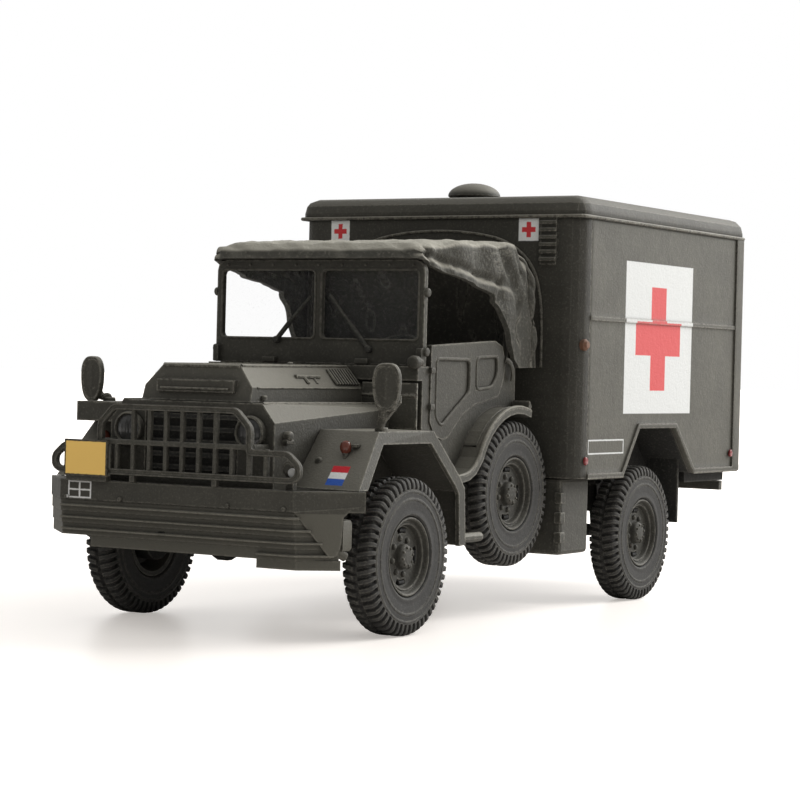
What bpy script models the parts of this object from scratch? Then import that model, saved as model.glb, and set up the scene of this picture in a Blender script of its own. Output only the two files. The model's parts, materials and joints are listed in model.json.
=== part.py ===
"""An H0 (1:87) scale model of a four-wheel-drive field ambulance truck.

Every size below is a real size of the model in millimetres. Lengthways places count from the
front axle, sideways places from the middle plane and heights from the ground. +X is the
truck's left, -Y its front, +Z up. The shapes are drawn in millimetres under one empty,
which brings them to metres and puts the origin on the ground under the middle of the model.
"""
import math

import bpy
import bmesh
from mathutils import Matrix, Vector

# Clearances
GAP = 0.03          # between pieces that touch
WHEEL_ROOM = 0.2    # between a turning wheel and what is beside it

# Half widths of the cab, of its narrower tub between the side wheels, and of the box
CAB_HALF = 8.35
CAB_WALL = 0.4
TUB_HALF = CAB_HALF - 1.4
BOX_HALF = 11.8

# Wheels
WHEELBASE = 34.2
TYRE_RADIUS = 5.05
TYRE_WIDTH = 2.25
TYRE_SIDES = 32
RIM_RADIUS = 2.52
RIM_SIDES = 20
TRACK_OUT = 11.1
SPARE_OUT = TUB_HALF + CAB_WALL + WHEEL_ROOM + TYRE_WIDTH
SPARE_Y = 16.15
SPARE_Z = 8.45
HUB_RADIUS = 0.45
HALF_TYRE = TYRE_WIDTH / 2
WHEEL_X = TRACK_OUT - HALF_TYRE
SPARE_X = SPARE_OUT - HALF_TYRE
AXLE_Z = TYRE_RADIUS * math.cos(math.pi / TYRE_SIDES)

# Sections of a tyre and of a rim: share of half the tyre's width, share of the height or radius
TYRE_SECTION = ((-0.8, 0.0), (-1.0, 0.3), (-1.0, 0.74), (-0.85, 0.97), (-0.5, 1.0),
                (0.5, 1.0), (0.85, 0.97), (1.0, 0.74), (1.0, 0.3), (0.8, 0.0))
HUB_FACE = 0.12
RIM_SECTION = ((-0.85, 1.0), (0.9, 1.0), (0.9, 0.9), (0.68, 0.84), (0.45, 0.72), (0.45, 0.4),
               (0.8, 0.29), (0.95, 0.16), (0.95, 0.0), (HUB_FACE, 0.0), (HUB_FACE, 0.67), (-0.85, 0.87))

# Chassis
RAIL_IN = 3.6
RAIL_WIDE = 0.9
RAIL_OUT = RAIL_IN + RAIL_WIDE
RAIL_LOW = 7.4
RAIL_TOP = 8.9
RAIL_REAR = 49.8
CROSSMEMBERS = (-8.4, 13.5, 19.0, 27.3, 41.0, 49.3)
MEMBER_THICK = 0.6
MEMBER_INSET = 0.2
SPARE_BOSS = 1.3

# Axles and springs
AXLE_BALL_X = -3.2
AXLE_BALL = ((-1.3, 0.0), (-1.0, 0.75), (-0.4, 1.1), (0.4, 1.1), (1.0, 0.75), (1.3, 0.0))
DRUM_RADIUS = 1.4
DRUM_WIDE = 1.1
KNUCKLE_HALF = 0.85
KNUCKLE_RADIUS = 0.4
SPRING_THICK = 0.45
SPRING_SAG = 1.05
EYE_HIGH = 0.82
FRONT_SPRING = 4.6
REAR_SPRING = 5.2

# Engine block, gearbox and shafts
ENGINE_HALF = 2.2
ENGINE_FRONT = -4.4
ENGINE_REAR = 4.6
ENGINE_LOW = 6.3
GEARBOX_HALF = 1.3
GEARBOX_REAR = 10.8
GEARBOX_LOW = 6.5
GEARBOX_TOP = 8.6
SHAFT_RADIUS = 0.28

# Front end
BUMPER_FRONT = -10.3
BUMPER_HALF = 8.86
BUMPER_END_X = 12.07
BUMPER_END_Y = -7.21
BUMPER_WALL = 0.8
BUMPER_TOP = 9.36
BUMPER_BAND = 1.26
BUMPER_RIB = 0.75
RIB_STEP = 0.1
RIB_LAP = 0.05
TYRE_CUT = 1.0
LIP_IN = 6.0
LIP_OUT = 10.9
LIP_DEEP = 0.6
GUARD_FRONT = -10.5
GUARD_THICK = 0.4
GUARD_LOW = 9.8
GUARD_MIDDLE = 11.75
GUARD_TOP = 14.25
GUARD_HALF_TOP = 4.7
GUARD_HALF_MIDDLE = 5.85
GUARD_HALF_LOW = 9.43
GUARD_PITCH = 1.25
GUARD_BAR = 0.3
GUARD_RIM = 0.37
PLATE_THICK = 0.19
PLATE_OUT = 8.27
PLATE_WIDE = 3.39
PLATE_LOW = 9.62
PLATE_HIGH = 2.3
NOSE_FRONT = -8.6
NOSE_REAR = 5.45
NOSE_HALF = 6.25
NOSE_SHOULDER = 5.3
NOSE_EDGE = 13.33
NOSE_EDGE_RISE = 0.9
NOSE_TOP = 14.52
RADIATOR_HALF = 3.5
RADIATOR_DEEP = 0.6
RADIATOR_LOW = 9.9
RADIATOR_TOP = 14.1
SLAT_PITCH = (RADIATOR_TOP - RADIATOR_LOW - 0.2) / 5
SLAT_HIGH = 0.32
LAMP_X = 4.63
LAMP_Z = 12.7
LAMP_RADIUS = 1.0
MARKER_X = 8.2
MARKER_Y = -9.25
MARKER_Z = 10.7
MARKER_RADIUS = 0.55
BONNET_FRONT = -7.9
BONNET_REAR = 4.87
BONNET_HALF = 4.15
BONNET_EDGE = 15.48
BONNET_TOP_HALF = 2.95
BONNET_TOP = 16.8
BONNET_RISE = 0.12
BONNET_LEAN = 0.6
LEDGE_LOW = 15.1
LEDGE_HIGH = 0.78
LEDGE_PROUD = 0.4

# Wings
WING_OUT = 11.0
WING_TOP = 12.95
WING_SHEET = 0.45
WING_LIP = 0.8
WING_LIP_WIDE = 0.3
WING_FLARE = 0.75
WING_SPREAD = 0.6
WING_LINE = ((-6.9, 9.4), (-3.75, WING_TOP), (2.6, WING_TOP), (6.12, 9.96), (6.84, 9.16), (7.1, 5.45))
PEG_RADIUS = 0.32
PEG_LONG = 2.95
LOCKER_FRONT = -6.1
LOCKER_REAR = 2.4
LOCKER_TOP = 14.25

# Cab
CAB_FRONT = 5.5
CAB_REAR = 18.35
FLOOR_TOP = 9.35
WALL_LOW = 9.0
FIREWALL_LOW = 10.65
SHELF_LOW = 14.9
SCUTTLE_LOW = 16.1
SCUTTLE_TOP = 17.05
POST_TOP = 17.4
HOOP_Y = 17.2
HOOP_THICK = 0.4
HOOP_TOP = 24.9
SEAT_BOX_HALF = TUB_HALF - 0.55
SEAT_BOX_FRONT = 9.9
SEAT_BOX_REAR = 15.6
SEAT_BOX_TOP = 12.0
SEAT_IN = 1.2
SEAT_OUT = SEAT_BOX_HALF - 0.5
CUSHION_THICK = 1.2
SEAT_BACK = 0.8
SEAT_TOP = 17.8
DASH_HALF = TUB_HALF - 0.65
DASH_THICK = 0.65
DASH_LOW = 15.3
DASH_DROP = 0.1
STEERING_X = 4.5
STEERING_Y = 8.3
STEERING_Z = 18.2
STEERING_RADIUS = 1.55
STEERING_RIM = 0.17
COLUMN_LONG = 2.4
DOOR_OUT = CAB_HALF + 0.1
DOOR_THICK = 0.45
PANEL_DEEP = 0.12
SCREEN_Y = 5.65
SCREEN_THICK = 0.4
SCREEN_HALF = CAB_HALF - 0.07
SCREEN_TOP = 24.05
SCREEN_CORNER = 0.7
PANE_IN = 0.28
PANE_OUT = SCREEN_HALF - 0.46
PANE_LOW = SCREEN_TOP - 5.25
PANE_TOP = SCREEN_TOP - 0.7
PANE_LAP = 0.13
GLASS_THICK = 0.12
GUARD_RADIUS = 5.95
GUARD_ARC = (154, 72)
GUARD_FLARE = ((-9.4, 1.33), (-8.05, 1.35), (-6.95, 1.5), (-6.15, 1.85))
GUARD_CURL = ((-0.5, -0.1), (0.02, -0.3), (0.3, 0.4), (0.0, 0.75), (-0.12, 0.3))
GUARD_SHEET = 0.42
GUARD_OUT = SPARE_OUT + 0.15
MIRROR_X = 11.4
MIRROR_Y = -4.0
MIRROR_Z = 15.7
MIRROR_HALF = 1.0
MIRROR_TALL = 1.43
MIRROR_THICK = 0.44
MIRROR_CORNER = 0.6
MIRROR_TURN = 7
STALK_RADIUS = 0.2

# The half door's (y, z) outline follows the side wheel's guard; it has two pressed panels
DOOR_LINE = ((6.45, 13.4), (7.1, 12.5), (8.1, 12.2), (8.95, 12.4), (10.85, 13.9), (12.45, 14.55),
             (14.2, 14.85), (15.85, 15.15), (16.5, 16.3), (16.75, 17.5), (16.2, 18.6), (15.2, 18.95),
             (6.45, 18.45))
DOOR_PANELS = (((7.15, 13.7), (8.0, 13.1), (8.6, 13.5), (11.7, 15.4), (11.7, 17.6), (7.15, 17.6)),
               ((12.6, 15.55), (14.9, 15.75), (15.6, 16.6), (15.6, 17.9), (12.6, 17.75)))

# Hood: its (y, z) outline outside and inside
HOOD_HALF = CAB_HALF + 0.6
HOOD_SHEET = 0.55
HOOD_FRONT_HALF = HOOD_HALF - 0.45
HOOD_FRONT = 5.1
HOOD_SPREAD_Y = 9.0
HOOD_LINE = ((HOOD_FRONT, 24.1), (HOOD_FRONT, 24.75), (5.7, 25.15), (8.0, 25.35), (12.0, 25.6),
             (16.8, 25.75), (18.2, 25.35), (19.3, 24.2), (20.1, 22.2), (20.45, 19.5), (20.55, 17.2),
             (17.95, 17.2), (17.2, 18.8), (14.9, 22.2), (10.0, 23.0), (6.12, 23.55), (6.12, 24.1))
HOOD_INSIDE = ((4.9, 16.5), (20.1, 16.5), (20.0, 19.5), (19.65, 22.1), (18.9, 23.9), (17.9, 24.9),
               (16.7, 25.2), (12.0, 25.1), (8.0, 24.9), (6.12, 24.7))

# Ambulance box
BOX_FRONT = 21.45
BOX_REAR = 50.0
BOX_LOW = 9.4
BOX_WALL = 0.35
BOX_CORNER = 1.4
BOX_FLOOR = 0.45
SIDE_FRONT = BOX_FRONT + BOX_CORNER + 0.1
SIDE_IN = BOX_HALF - BOX_WALL
ROOF_OVER = 0.14
ROOF_HALF = BOX_HALF + ROOF_OVER
ROOF_LOW = 27.95
ROOF_THICK = 1.5
ROOF_TOP = ROOF_LOW + ROOF_THICK
ROOF_ROUND = 1.1
ARCH_LIP = 0.35
ARCH_PROUD = 0.15
ARCH_LINE = ((28.7, BOX_LOW), (31.35, 12.9), (37.75, 12.9), (41.25, BOX_LOW))
ARCH_COVER = 0.35
ARCH_IN = WHEEL_X - HALF_TYRE - 1.1
REAR_FLANGE = 1.3
BEAD_LOW = 20.65
BEAD_HIGH = 0.3
LOUVRE_WIDE = 1.3
LOUVRE_IN = BOX_HALF - BOX_CORNER - 0.6 - LOUVRE_WIDE
LOUVRE_LOW = 24.5
LOUVRE_PROUD = 0.12
REAR_DOOR = 0.4
REAR_PANE_OUT = BOX_HALF - 3.4
REAR_PANE_IN = 3.2
REAR_PANE_LOW = 20.2
REAR_PANE_TOP = 24.6
VENT_Y = 26.8
VENT_RADIUS = 2.05
VENT_NECK = 1.3
VENT_RISE = 0.35
VENT_TOP = 30.83

# Under the box: bearers as (y, half length), mudflaps, sills, tanks and the rear crossbar
BEARERS = ((24.0, RAIL_OUT + 0.2), (30.0, ARCH_IN - 0.15), (37.0, ARCH_IN - 0.15),
           (43.0, BOX_HALF - 2.2), (47.5, BOX_HALF - 2.2))
BEARER_THICK = 0.7
FLAP_OUT = BOX_HALF - 0.75
FLAP_IN = FLAP_OUT - 2.45
FLAP_Y = 40.2
FLAP_THICK = 0.25
FLAP_LOW = 5.55
FLAP_TOP = 10.5
SILL_OUT = BOX_HALF - 0.9
SILL_IN = SILL_OUT - 0.6
SILL_FRONT = 41.8
SILL_REAR = 49.3
SILL_LOW = 8.6
TANK_IN = 5.0
TANK_OUT = BOX_HALF - 1.3
TANK_FRONT = SPARE_Y + TYRE_RADIUS + WHEEL_ROOM * 2
TANK_REAR = 26.1
TANK_LOW = 3.95
TANK_ROUND = 0.3
BAR_HALF = BOX_HALF - 1.4
BAR_THICK = 0.52
BAR_LOW = 7.75
BAR_HIGH = 0.75
HOOK_HALF = 0.45
HOOK_HIGH = 0.5
HOOK_REAR = 51.0

# The model's middle, from its number plate to its tow hook
PLATE_FRONT = GUARD_FRONT - GAP - PLATE_THICK
MIDDLE_Y = (PLATE_FRONT + HOOK_REAR) / 2

SIDES = (("left", 1), ("right", -1))

# Colour, roughness and metallic of each finish
FINISHES = {
    "olive": ((0.075, 0.075, 0.058), 0.75, 0.0),
    "olive_light": ((0.11, 0.108, 0.085), 0.8, 0.0),
    "canvas": ((0.16, 0.155, 0.125), 0.95, 0.0),
    "rubber": ((0.035, 0.035, 0.034), 0.85, 0.0),
    "underside": ((0.04, 0.04, 0.036), 0.85, 0.0),
    "plate_yellow": ((0.72, 0.47, 0.09), 0.6, 0.0),
    "lamp_glass": ((0.75, 0.78, 0.8), 0.1, 0.0),
    "window": ((0.25, 0.27, 0.27), 0.05, 0.0),
    "seat": ((0.05, 0.048, 0.04), 0.9, 0.0),
}


def clear_scene():
    """Remove every object of the start-up scene."""
    for obj in list(bpy.data.objects):
        bpy.data.objects.remove(obj, do_unlink=True)


def new_collection(name):
    collection = bpy.data.collections.new(name)
    bpy.context.scene.collection.children.link(collection)
    return collection


def finish_material(finish):
    """Return the material of a finish, made on first use."""
    if finish in bpy.data.materials:
        return bpy.data.materials[finish]
    colour, roughness, metallic = FINISHES[finish]
    material = bpy.data.materials.new(finish)
    material.use_nodes = True
    shader = material.node_tree.nodes["Principled BSDF"]
    shader.inputs["Base Color"].default_value = (*colour, 1.0)
    shader.inputs["Roughness"].default_value = roughness
    shader.inputs["Metallic"].default_value = metallic
    return material


def solid(mesh):
    """Weld a mesh, point its faces outwards and make it an object of the workshop."""
    bm = bmesh.new()
    bm.from_mesh(mesh)
    bmesh.ops.remove_doubles(bm, verts=bm.verts, dist=1e-4)
    bmesh.ops.dissolve_limit(bm, angle_limit=math.radians(0.1), verts=bm.verts, edges=bm.edges)
    bmesh.ops.recalc_face_normals(bm, faces=bm.faces)
    bm.to_mesh(mesh)
    bm.free()
    obj = bpy.data.objects.new("piece", mesh)
    WORKSHOP.objects.link(obj)
    return obj


def bake(obj):
    """Put an object's modifiers into its mesh."""
    depsgraph = bpy.context.evaluated_depsgraph_get()
    mesh = bpy.data.meshes.new_from_object(obj.evaluated_get(depsgraph))
    bpy.data.objects.remove(obj, do_unlink=True)
    return solid(mesh)


def box(x, y, z):
    """A cuboid between two places on each axis."""
    bm = bmesh.new()
    bmesh.ops.create_cube(bm, size=1.0)
    centre = Vector([sum(span) / 2 for span in (x, y, z)])
    size = [abs(span[1] - span[0]) for span in (x, y, z)]
    place = Matrix.Translation(centre) @ Matrix.Diagonal((*size, 1.0))
    bmesh.ops.transform(bm, matrix=place, verts=bm.verts)
    mesh = bpy.data.meshes.new("box")
    bm.to_mesh(mesh)
    bm.free()
    return solid(mesh)


def prism(axis, outlines, low, high):
    """A flat outline given thickness along an axis. Outlines after the first are holes.

    An outline holds (y, z) pairs for axis x, (x, z) pairs for y and (x, y) pairs for z.
    """
    curve = bpy.data.curves.new("outline", "CURVE")
    curve.dimensions = "2D"
    curve.fill_mode = "BOTH"
    curve.extrude = abs(high - low) / 2
    for outline in outlines:
        spline = curve.splines.new("POLY")
        spline.points.add(len(outline) - 1)
        for point, (u, v) in zip(spline.points, outline):
            point.co = (v, u, 0.0, 1.0) if axis == "y" else (u, v, 0.0, 1.0)
        spline.use_cyclic_u = True
    obj = bpy.data.objects.new("outline", curve)
    WORKSHOP.objects.link(obj)
    depsgraph = bpy.context.evaluated_depsgraph_get()
    mesh = bpy.data.meshes.new_from_object(obj.evaluated_get(depsgraph))
    bpy.data.objects.remove(obj, do_unlink=True)
    middle = (low + high) / 2
    turn = {
        "x": Matrix(((0, 0, 1, middle), (1, 0, 0, 0), (0, 1, 0, 0), (0, 0, 0, 1))),
        "y": Matrix(((0, 1, 0, 0), (0, 0, 1, middle), (1, 0, 0, 0), (0, 0, 0, 1))),
        "z": Matrix.Translation((0, 0, middle)),
    }[axis]
    mesh.transform(turn)
    return solid(mesh)


def rod(start, end, radius, sides=12):
    """A round bar between two points."""
    start, end = Vector(start), Vector(end)
    bm = bmesh.new()
    bmesh.ops.create_cone(bm, cap_ends=True, segments=sides, radius1=radius, radius2=radius,
                          depth=(end - start).length)
    turn = Vector((0, 0, 1)).rotation_difference(end - start).to_matrix().to_4x4()
    bmesh.ops.transform(bm, matrix=Matrix.Translation((start + end) / 2) @ turn, verts=bm.verts)
    mesh = bpy.data.meshes.new("rod")
    bm.to_mesh(mesh)
    bm.free()
    return solid(mesh)


def turned(profile, sides, axis="X"):
    """A closed profile of (place on the axis, radius) pairs turned about that axis."""
    mesh = bpy.data.meshes.new("profile")
    bm = bmesh.new()
    verts = [bm.verts.new((a, r, 0.0) if axis == "X" else (r, 0.0, a)) for a, r in profile]
    for index, (_, radius) in enumerate(profile):
        if radius > 0 or profile[index - 1][1] > 0:
            bm.edges.new((verts[index - 1], verts[index]))
    bm.to_mesh(mesh)
    bm.free()
    obj = bpy.data.objects.new("turned", mesh)
    WORKSHOP.objects.link(obj)
    screw = obj.modifiers.new("turn", "SCREW")
    screw.axis = axis
    screw.steps = sides
    screw.render_steps = sides
    screw.use_merge_vertices = True
    screw.merge_threshold = 1e-4
    return bake(obj)


def combine(operation, first, others, solver):
    for other in others:
        modifier = first.modifiers.new(operation.lower(), "BOOLEAN")
        modifier.operation = operation
        modifier.solver = solver
        modifier.object = other
    result = bake(first)
    for other in others:
        bpy.data.objects.remove(other, do_unlink=True)
    return result


def fuse(first, *others, solver="EXACT"):
    return combine("UNION", first, others, solver)


def cut(first, *others, solver="EXACT"):
    return combine("DIFFERENCE", first, others, solver)


def rounded(obj, width, segments=2, angle=50.0):
    """Round the edges that are sharper than an angle."""
    modifier = obj.modifiers.new("round", "BEVEL")
    modifier.width = width
    modifier.segments = segments
    modifier.limit_method = "ANGLE"
    modifier.angle_limit = math.radians(angle)
    return bake(obj)


def moved(obj, matrix):
    obj.data.transform(matrix)
    return obj


def strip(points, thickness):
    """The outline of an open line of points made a band, its thickness to the line's right."""
    inner = []
    for index, point in enumerate(points):
        before = points[max(index - 1, 0)]
        after = points[min(index + 1, len(points) - 1)]
        normals = []
        for start, end in ((before, point), (point, after)):
            along = Vector((end[0] - start[0], end[1] - start[1]))
            if along.length > 0:
                along.normalize()
                normals.append(Vector((along.y, -along.x)))
        middle = sum(normals, Vector((0, 0)))
        middle.normalize()
        reach = thickness / middle.dot(normals[0])
        inner.append((point[0] + middle.x * reach, point[1] + middle.y * reach))
    return list(points) + inner[::-1]


def arc(centre, radius, start, end, count):
    """Points on a circle from one angle in degrees to another."""
    angles = [math.radians(start + (end - start) * i / (count - 1)) for i in range(count)]
    return [(centre[0] + radius * math.cos(a), centre[1] + radius * math.sin(a)) for a in angles]


def rounded_rectangle(u, v, radius, steps=3):
    """A rectangle between two places each way, with round corners."""
    corners = ((u[1], v[1], 0), (u[0], v[1], 90), (u[0], v[0], 180), (u[1], v[0], 270))
    points = []
    for cu, cv, start in corners:
        centre = (cu - math.copysign(radius, cu - sum(u) / 2), cv - math.copysign(radius, cv - sum(v) / 2))
        points += arc(centre, radius, start, start + 90, steps)
    return points


def grown(outline, distance):
    """A closed outline moved outwards all round."""
    outline = list(outline)
    area = sum(a[0] * b[1] - b[0] * a[1] for a, b in zip(outline, outline[1:] + outline[:1]))
    ring = outline if area > 0 else outline[::-1]
    result = []
    for index, point in enumerate(ring):
        before, after = ring[index - 1], ring[(index + 1) % len(ring)]
        first = Vector((point[0] - before[0], point[1] - before[1])).normalized()
        second = Vector((after[0] - point[0], after[1] - point[1])).normalized()
        normals = (Vector((first.y, -first.x)), Vector((second.y, -second.x)))
        middle = (normals[0] + normals[1]).normalized()
        reach = distance / middle.dot(normals[0])
        result.append((point[0] + middle.x * reach, point[1] + middle.y * reach))
    return result


def part(name, finish, obj, pivot=(0.0, 0.0, 0.0)):
    """Name a finished piece, put it in the model and set its origin on its pivot."""
    pivot = Vector(pivot)
    obj.data.transform(Matrix.Translation(-pivot))
    obj.name = name
    obj.data.name = name
    obj.data.materials.clear()
    obj.data.materials.append(finish_material(finish))
    WORKSHOP.objects.unlink(obj)
    MODEL.objects.link(obj)
    obj.parent = MILLIMETRES
    obj.location = pivot
    return obj


# Wheels

def wheels():
    """Six wheels, each a tyre and a rim on one turning axis."""
    bead = RIM_RADIUS + GAP
    tyre = [(a * HALF_TYRE, bead + r * (TYRE_RADIUS - bead)) for a, r in TYRE_SECTION]
    rim = [(a * HALF_TYRE, r * RIM_RADIUS) for a, r in RIM_SECTION]
    places = (("front", WHEEL_X, 0.0, AXLE_Z), ("rear", WHEEL_X, WHEELBASE, AXLE_Z),
              ("spare", SPARE_X, SPARE_Y, SPARE_Z))
    for place, x, y, z in places:
        for side, sign in SIDES:
            pivot = (sign * x, y, z)
            for kind, profile, count, finish in (
                    ("tyre", tyre, TYRE_SIDES, "rubber"), ("rim", rim, RIM_SIDES, "olive")):
                piece = turned([(sign * a, r) for a, r in profile], count)
                half_step = Matrix.Rotation(math.pi / count, 4, "X")
                moved(piece, Matrix.Translation(pivot) @ half_step)
                part(f"{kind}_{place}_{side}", finish, piece, pivot)


# Chassis and running gear

def chassis():
    """Two rails, their crossmembers and the stub axles that carry the side wheels."""
    low, high = RAIL_LOW + MEMBER_INSET, RAIL_TOP - MEMBER_INSET
    boss_out = SPARE_OUT - TYRE_WIDTH - WHEEL_ROOM / 2
    pieces = []
    for _, sign in SIDES:
        front = BUMPER_FRONT + BUMPER_WALL + 3 * RIB_STEP
        pieces.append(box((sign * RAIL_IN, sign * RAIL_OUT), (front, RAIL_REAR), (RAIL_LOW, RAIL_TOP)))
        inner = sign * (RAIL_IN + MEMBER_INSET)
        stub_end = sign * (SPARE_X + HUB_FACE * HALF_TYRE - GAP)
        pieces.append(rod((inner, SPARE_Y, SPARE_Z), (stub_end, SPARE_Y, SPARE_Z), HUB_RADIUS))
        pieces.append(rod((sign * (TUB_HALF + GAP), SPARE_Y, SPARE_Z),
                          (sign * boss_out, SPARE_Y, SPARE_Z), SPARE_BOSS, 16))
        # The bracket that carries the tank under the front of the box
        pieces.append(box((inner, sign * (TANK_IN - GAP)),
                          (TANK_FRONT + MEMBER_THICK, TANK_REAR - MEMBER_THICK), (low, high)))
    for y in CROSSMEMBERS:
        pieces.append(box((-RAIL_IN - MEMBER_INSET, RAIL_IN + MEMBER_INSET),
                          (y - MEMBER_THICK / 2, y + MEMBER_THICK / 2), (low, high)))
    part("chassis_frame", "underside", fuse(*pieces))


def axle(name, y, spring_half):
    """A live axle with its offset differential, drums and leaf springs, moulded in one piece."""
    stub = WHEEL_X + HUB_FACE * HALF_TYRE - GAP
    pieces = [rod((-stub, y, AXLE_Z), (stub, y, AXLE_Z), HUB_RADIUS)]
    pieces.append(moved(turned(AXLE_BALL, 14), Matrix.Translation((AXLE_BALL_X, y, AXLE_Z))))
    eye = RAIL_LOW - GAP
    spring_in, spring_out = RAIL_IN + MEMBER_INSET / 2, RAIL_OUT - MEMBER_INSET / 2
    drum_out = WHEEL_X - HALF_TYRE * 0.2
    knuckle = WHEEL_X - HALF_TYRE - DRUM_RADIUS / 2
    half_block = SPRING_THICK
    for _, sign in SIDES:
        pieces.append(rod((sign * (drum_out - DRUM_WIDE), y, AXLE_Z), (sign * drum_out, y, AXLE_Z),
                          DRUM_RADIUS, 16))
        pieces.append(rod((sign * knuckle, y, AXLE_Z - KNUCKLE_HALF),
                          (sign * knuckle, y, AXLE_Z + KNUCKLE_HALF), KNUCKLE_RADIUS, 10))
        sag = [(y + share * spring_half, eye - MEMBER_INSET - drop * SPRING_SAG)
               for share, drop in ((-1.0, 0.0), (-0.55, 0.8), (0.0, 1.0), (0.55, 0.8), (1.0, 0.0))]
        pieces.append(prism("x", [strip(sag, SPRING_THICK)], sign * spring_in, sign * spring_out))
        pieces.append(box((sign * spring_in, sign * spring_out), (y - half_block, y + half_block),
                          (AXLE_Z - HUB_RADIUS / 2, eye - MEMBER_INSET - SPRING_SAG)))
        for end in (-1, 1):
            place = y + end * (spring_half - half_block / 3)
            pieces.append(box((sign * (spring_in - GAP), sign * (spring_out + GAP)),
                              (place - MEMBER_THICK / 2, place + MEMBER_THICK / 2), (eye - EYE_HIGH, eye)))
    part(name, "underside", fuse(*pieces, solver="MANIFOLD"))


def powertrain():
    """Engine, gearbox and drive shafts as the plain blocks that show from below."""
    mount_low, mount_high = RAIL_LOW + MEMBER_INSET, RAIL_TOP - MEMBER_INSET * 2
    shaft_z = (GEARBOX_LOW + GEARBOX_TOP) / 2
    ball_reach = AXLE_BALL[3][1]
    side = -GEARBOX_HALF / 2
    pieces = [
        box((-ENGINE_HALF, ENGINE_HALF), (ENGINE_FRONT, ENGINE_REAR), (ENGINE_LOW, RAIL_TOP)),
        box((-RAIL_IN + GAP, RAIL_IN - GAP), (0.0, MEMBER_THICK), (mount_low, mount_high)),
        box((-GEARBOX_HALF, GEARBOX_HALF), (ENGINE_REAR - GAP, GEARBOX_REAR), (GEARBOX_LOW, GEARBOX_TOP)),
        rod((side, GEARBOX_REAR - GEARBOX_HALF, shaft_z),
            (AXLE_BALL_X + ball_reach / 2, WHEELBASE - ball_reach - GAP * 3, AXLE_Z + HUB_RADIUS),
            SHAFT_RADIUS, 8),
    ]
    part("engine_and_gearbox", "underside", fuse(*pieces))


# Front end

def bumper_line(front, end_x, other_end_x):
    """The bumper's (x, y) line from its left end to its right, standing at one place in front."""
    slope = (BUMPER_END_Y - BUMPER_FRONT) / (BUMPER_END_X - BUMPER_HALF)
    return [(end_x, front + (end_x - BUMPER_HALF) * slope), (BUMPER_HALF, front), (-BUMPER_HALF, front),
            (-other_end_x, front + (other_end_x - BUMPER_HALF) * slope)]


def bumper():
    """A deep plate with angled ends and stepped ribs, cut back at its lower left for the tyre."""
    band_low = BUMPER_TOP - BUMPER_BAND
    line = bumper_line(BUMPER_FRONT, BUMPER_END_X, BUMPER_END_X)
    pieces = [prism("z", [strip(line, BUMPER_WALL)], band_low, BUMPER_TOP)]
    for index in range(3):
        top = band_low - index * BUMPER_RIB + RIB_LAP
        left_end = BUMPER_END_X - TYRE_CUT - index * RIB_STEP
        line = bumper_line(BUMPER_FRONT + (index + 1) * RIB_STEP, left_end, BUMPER_END_X)
        pieces.append(prism("z", [strip(line, BUMPER_WALL)], top - BUMPER_RIB - RIB_LAP, top))
    low = band_low - 3 * BUMPER_RIB + RIB_LAP
    front = BUMPER_FRONT + 4 * RIB_STEP
    left_end = bumper_line(front, BUMPER_END_X - TYRE_CUT - 3 * RIB_STEP, BUMPER_END_X)[:2]
    line = left_end + [(-BUMPER_HALF * 0.75, front)]
    pieces.append(prism("z", [strip(line, BUMPER_WALL)], low - BUMPER_RIB, low))
    lip = [(LIP_OUT, left_end[0][1]), (BUMPER_HALF, front + RIB_LAP), (LIP_IN, front + RIB_LAP)]
    lip_top = low - BUMPER_RIB + RIB_LAP
    pieces.append(prism("z", [strip(lip, GUARD_BAR)], lip_top - LIP_DEEP, lip_top))
    part("front_bumper", "olive", fuse(*pieces))


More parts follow.
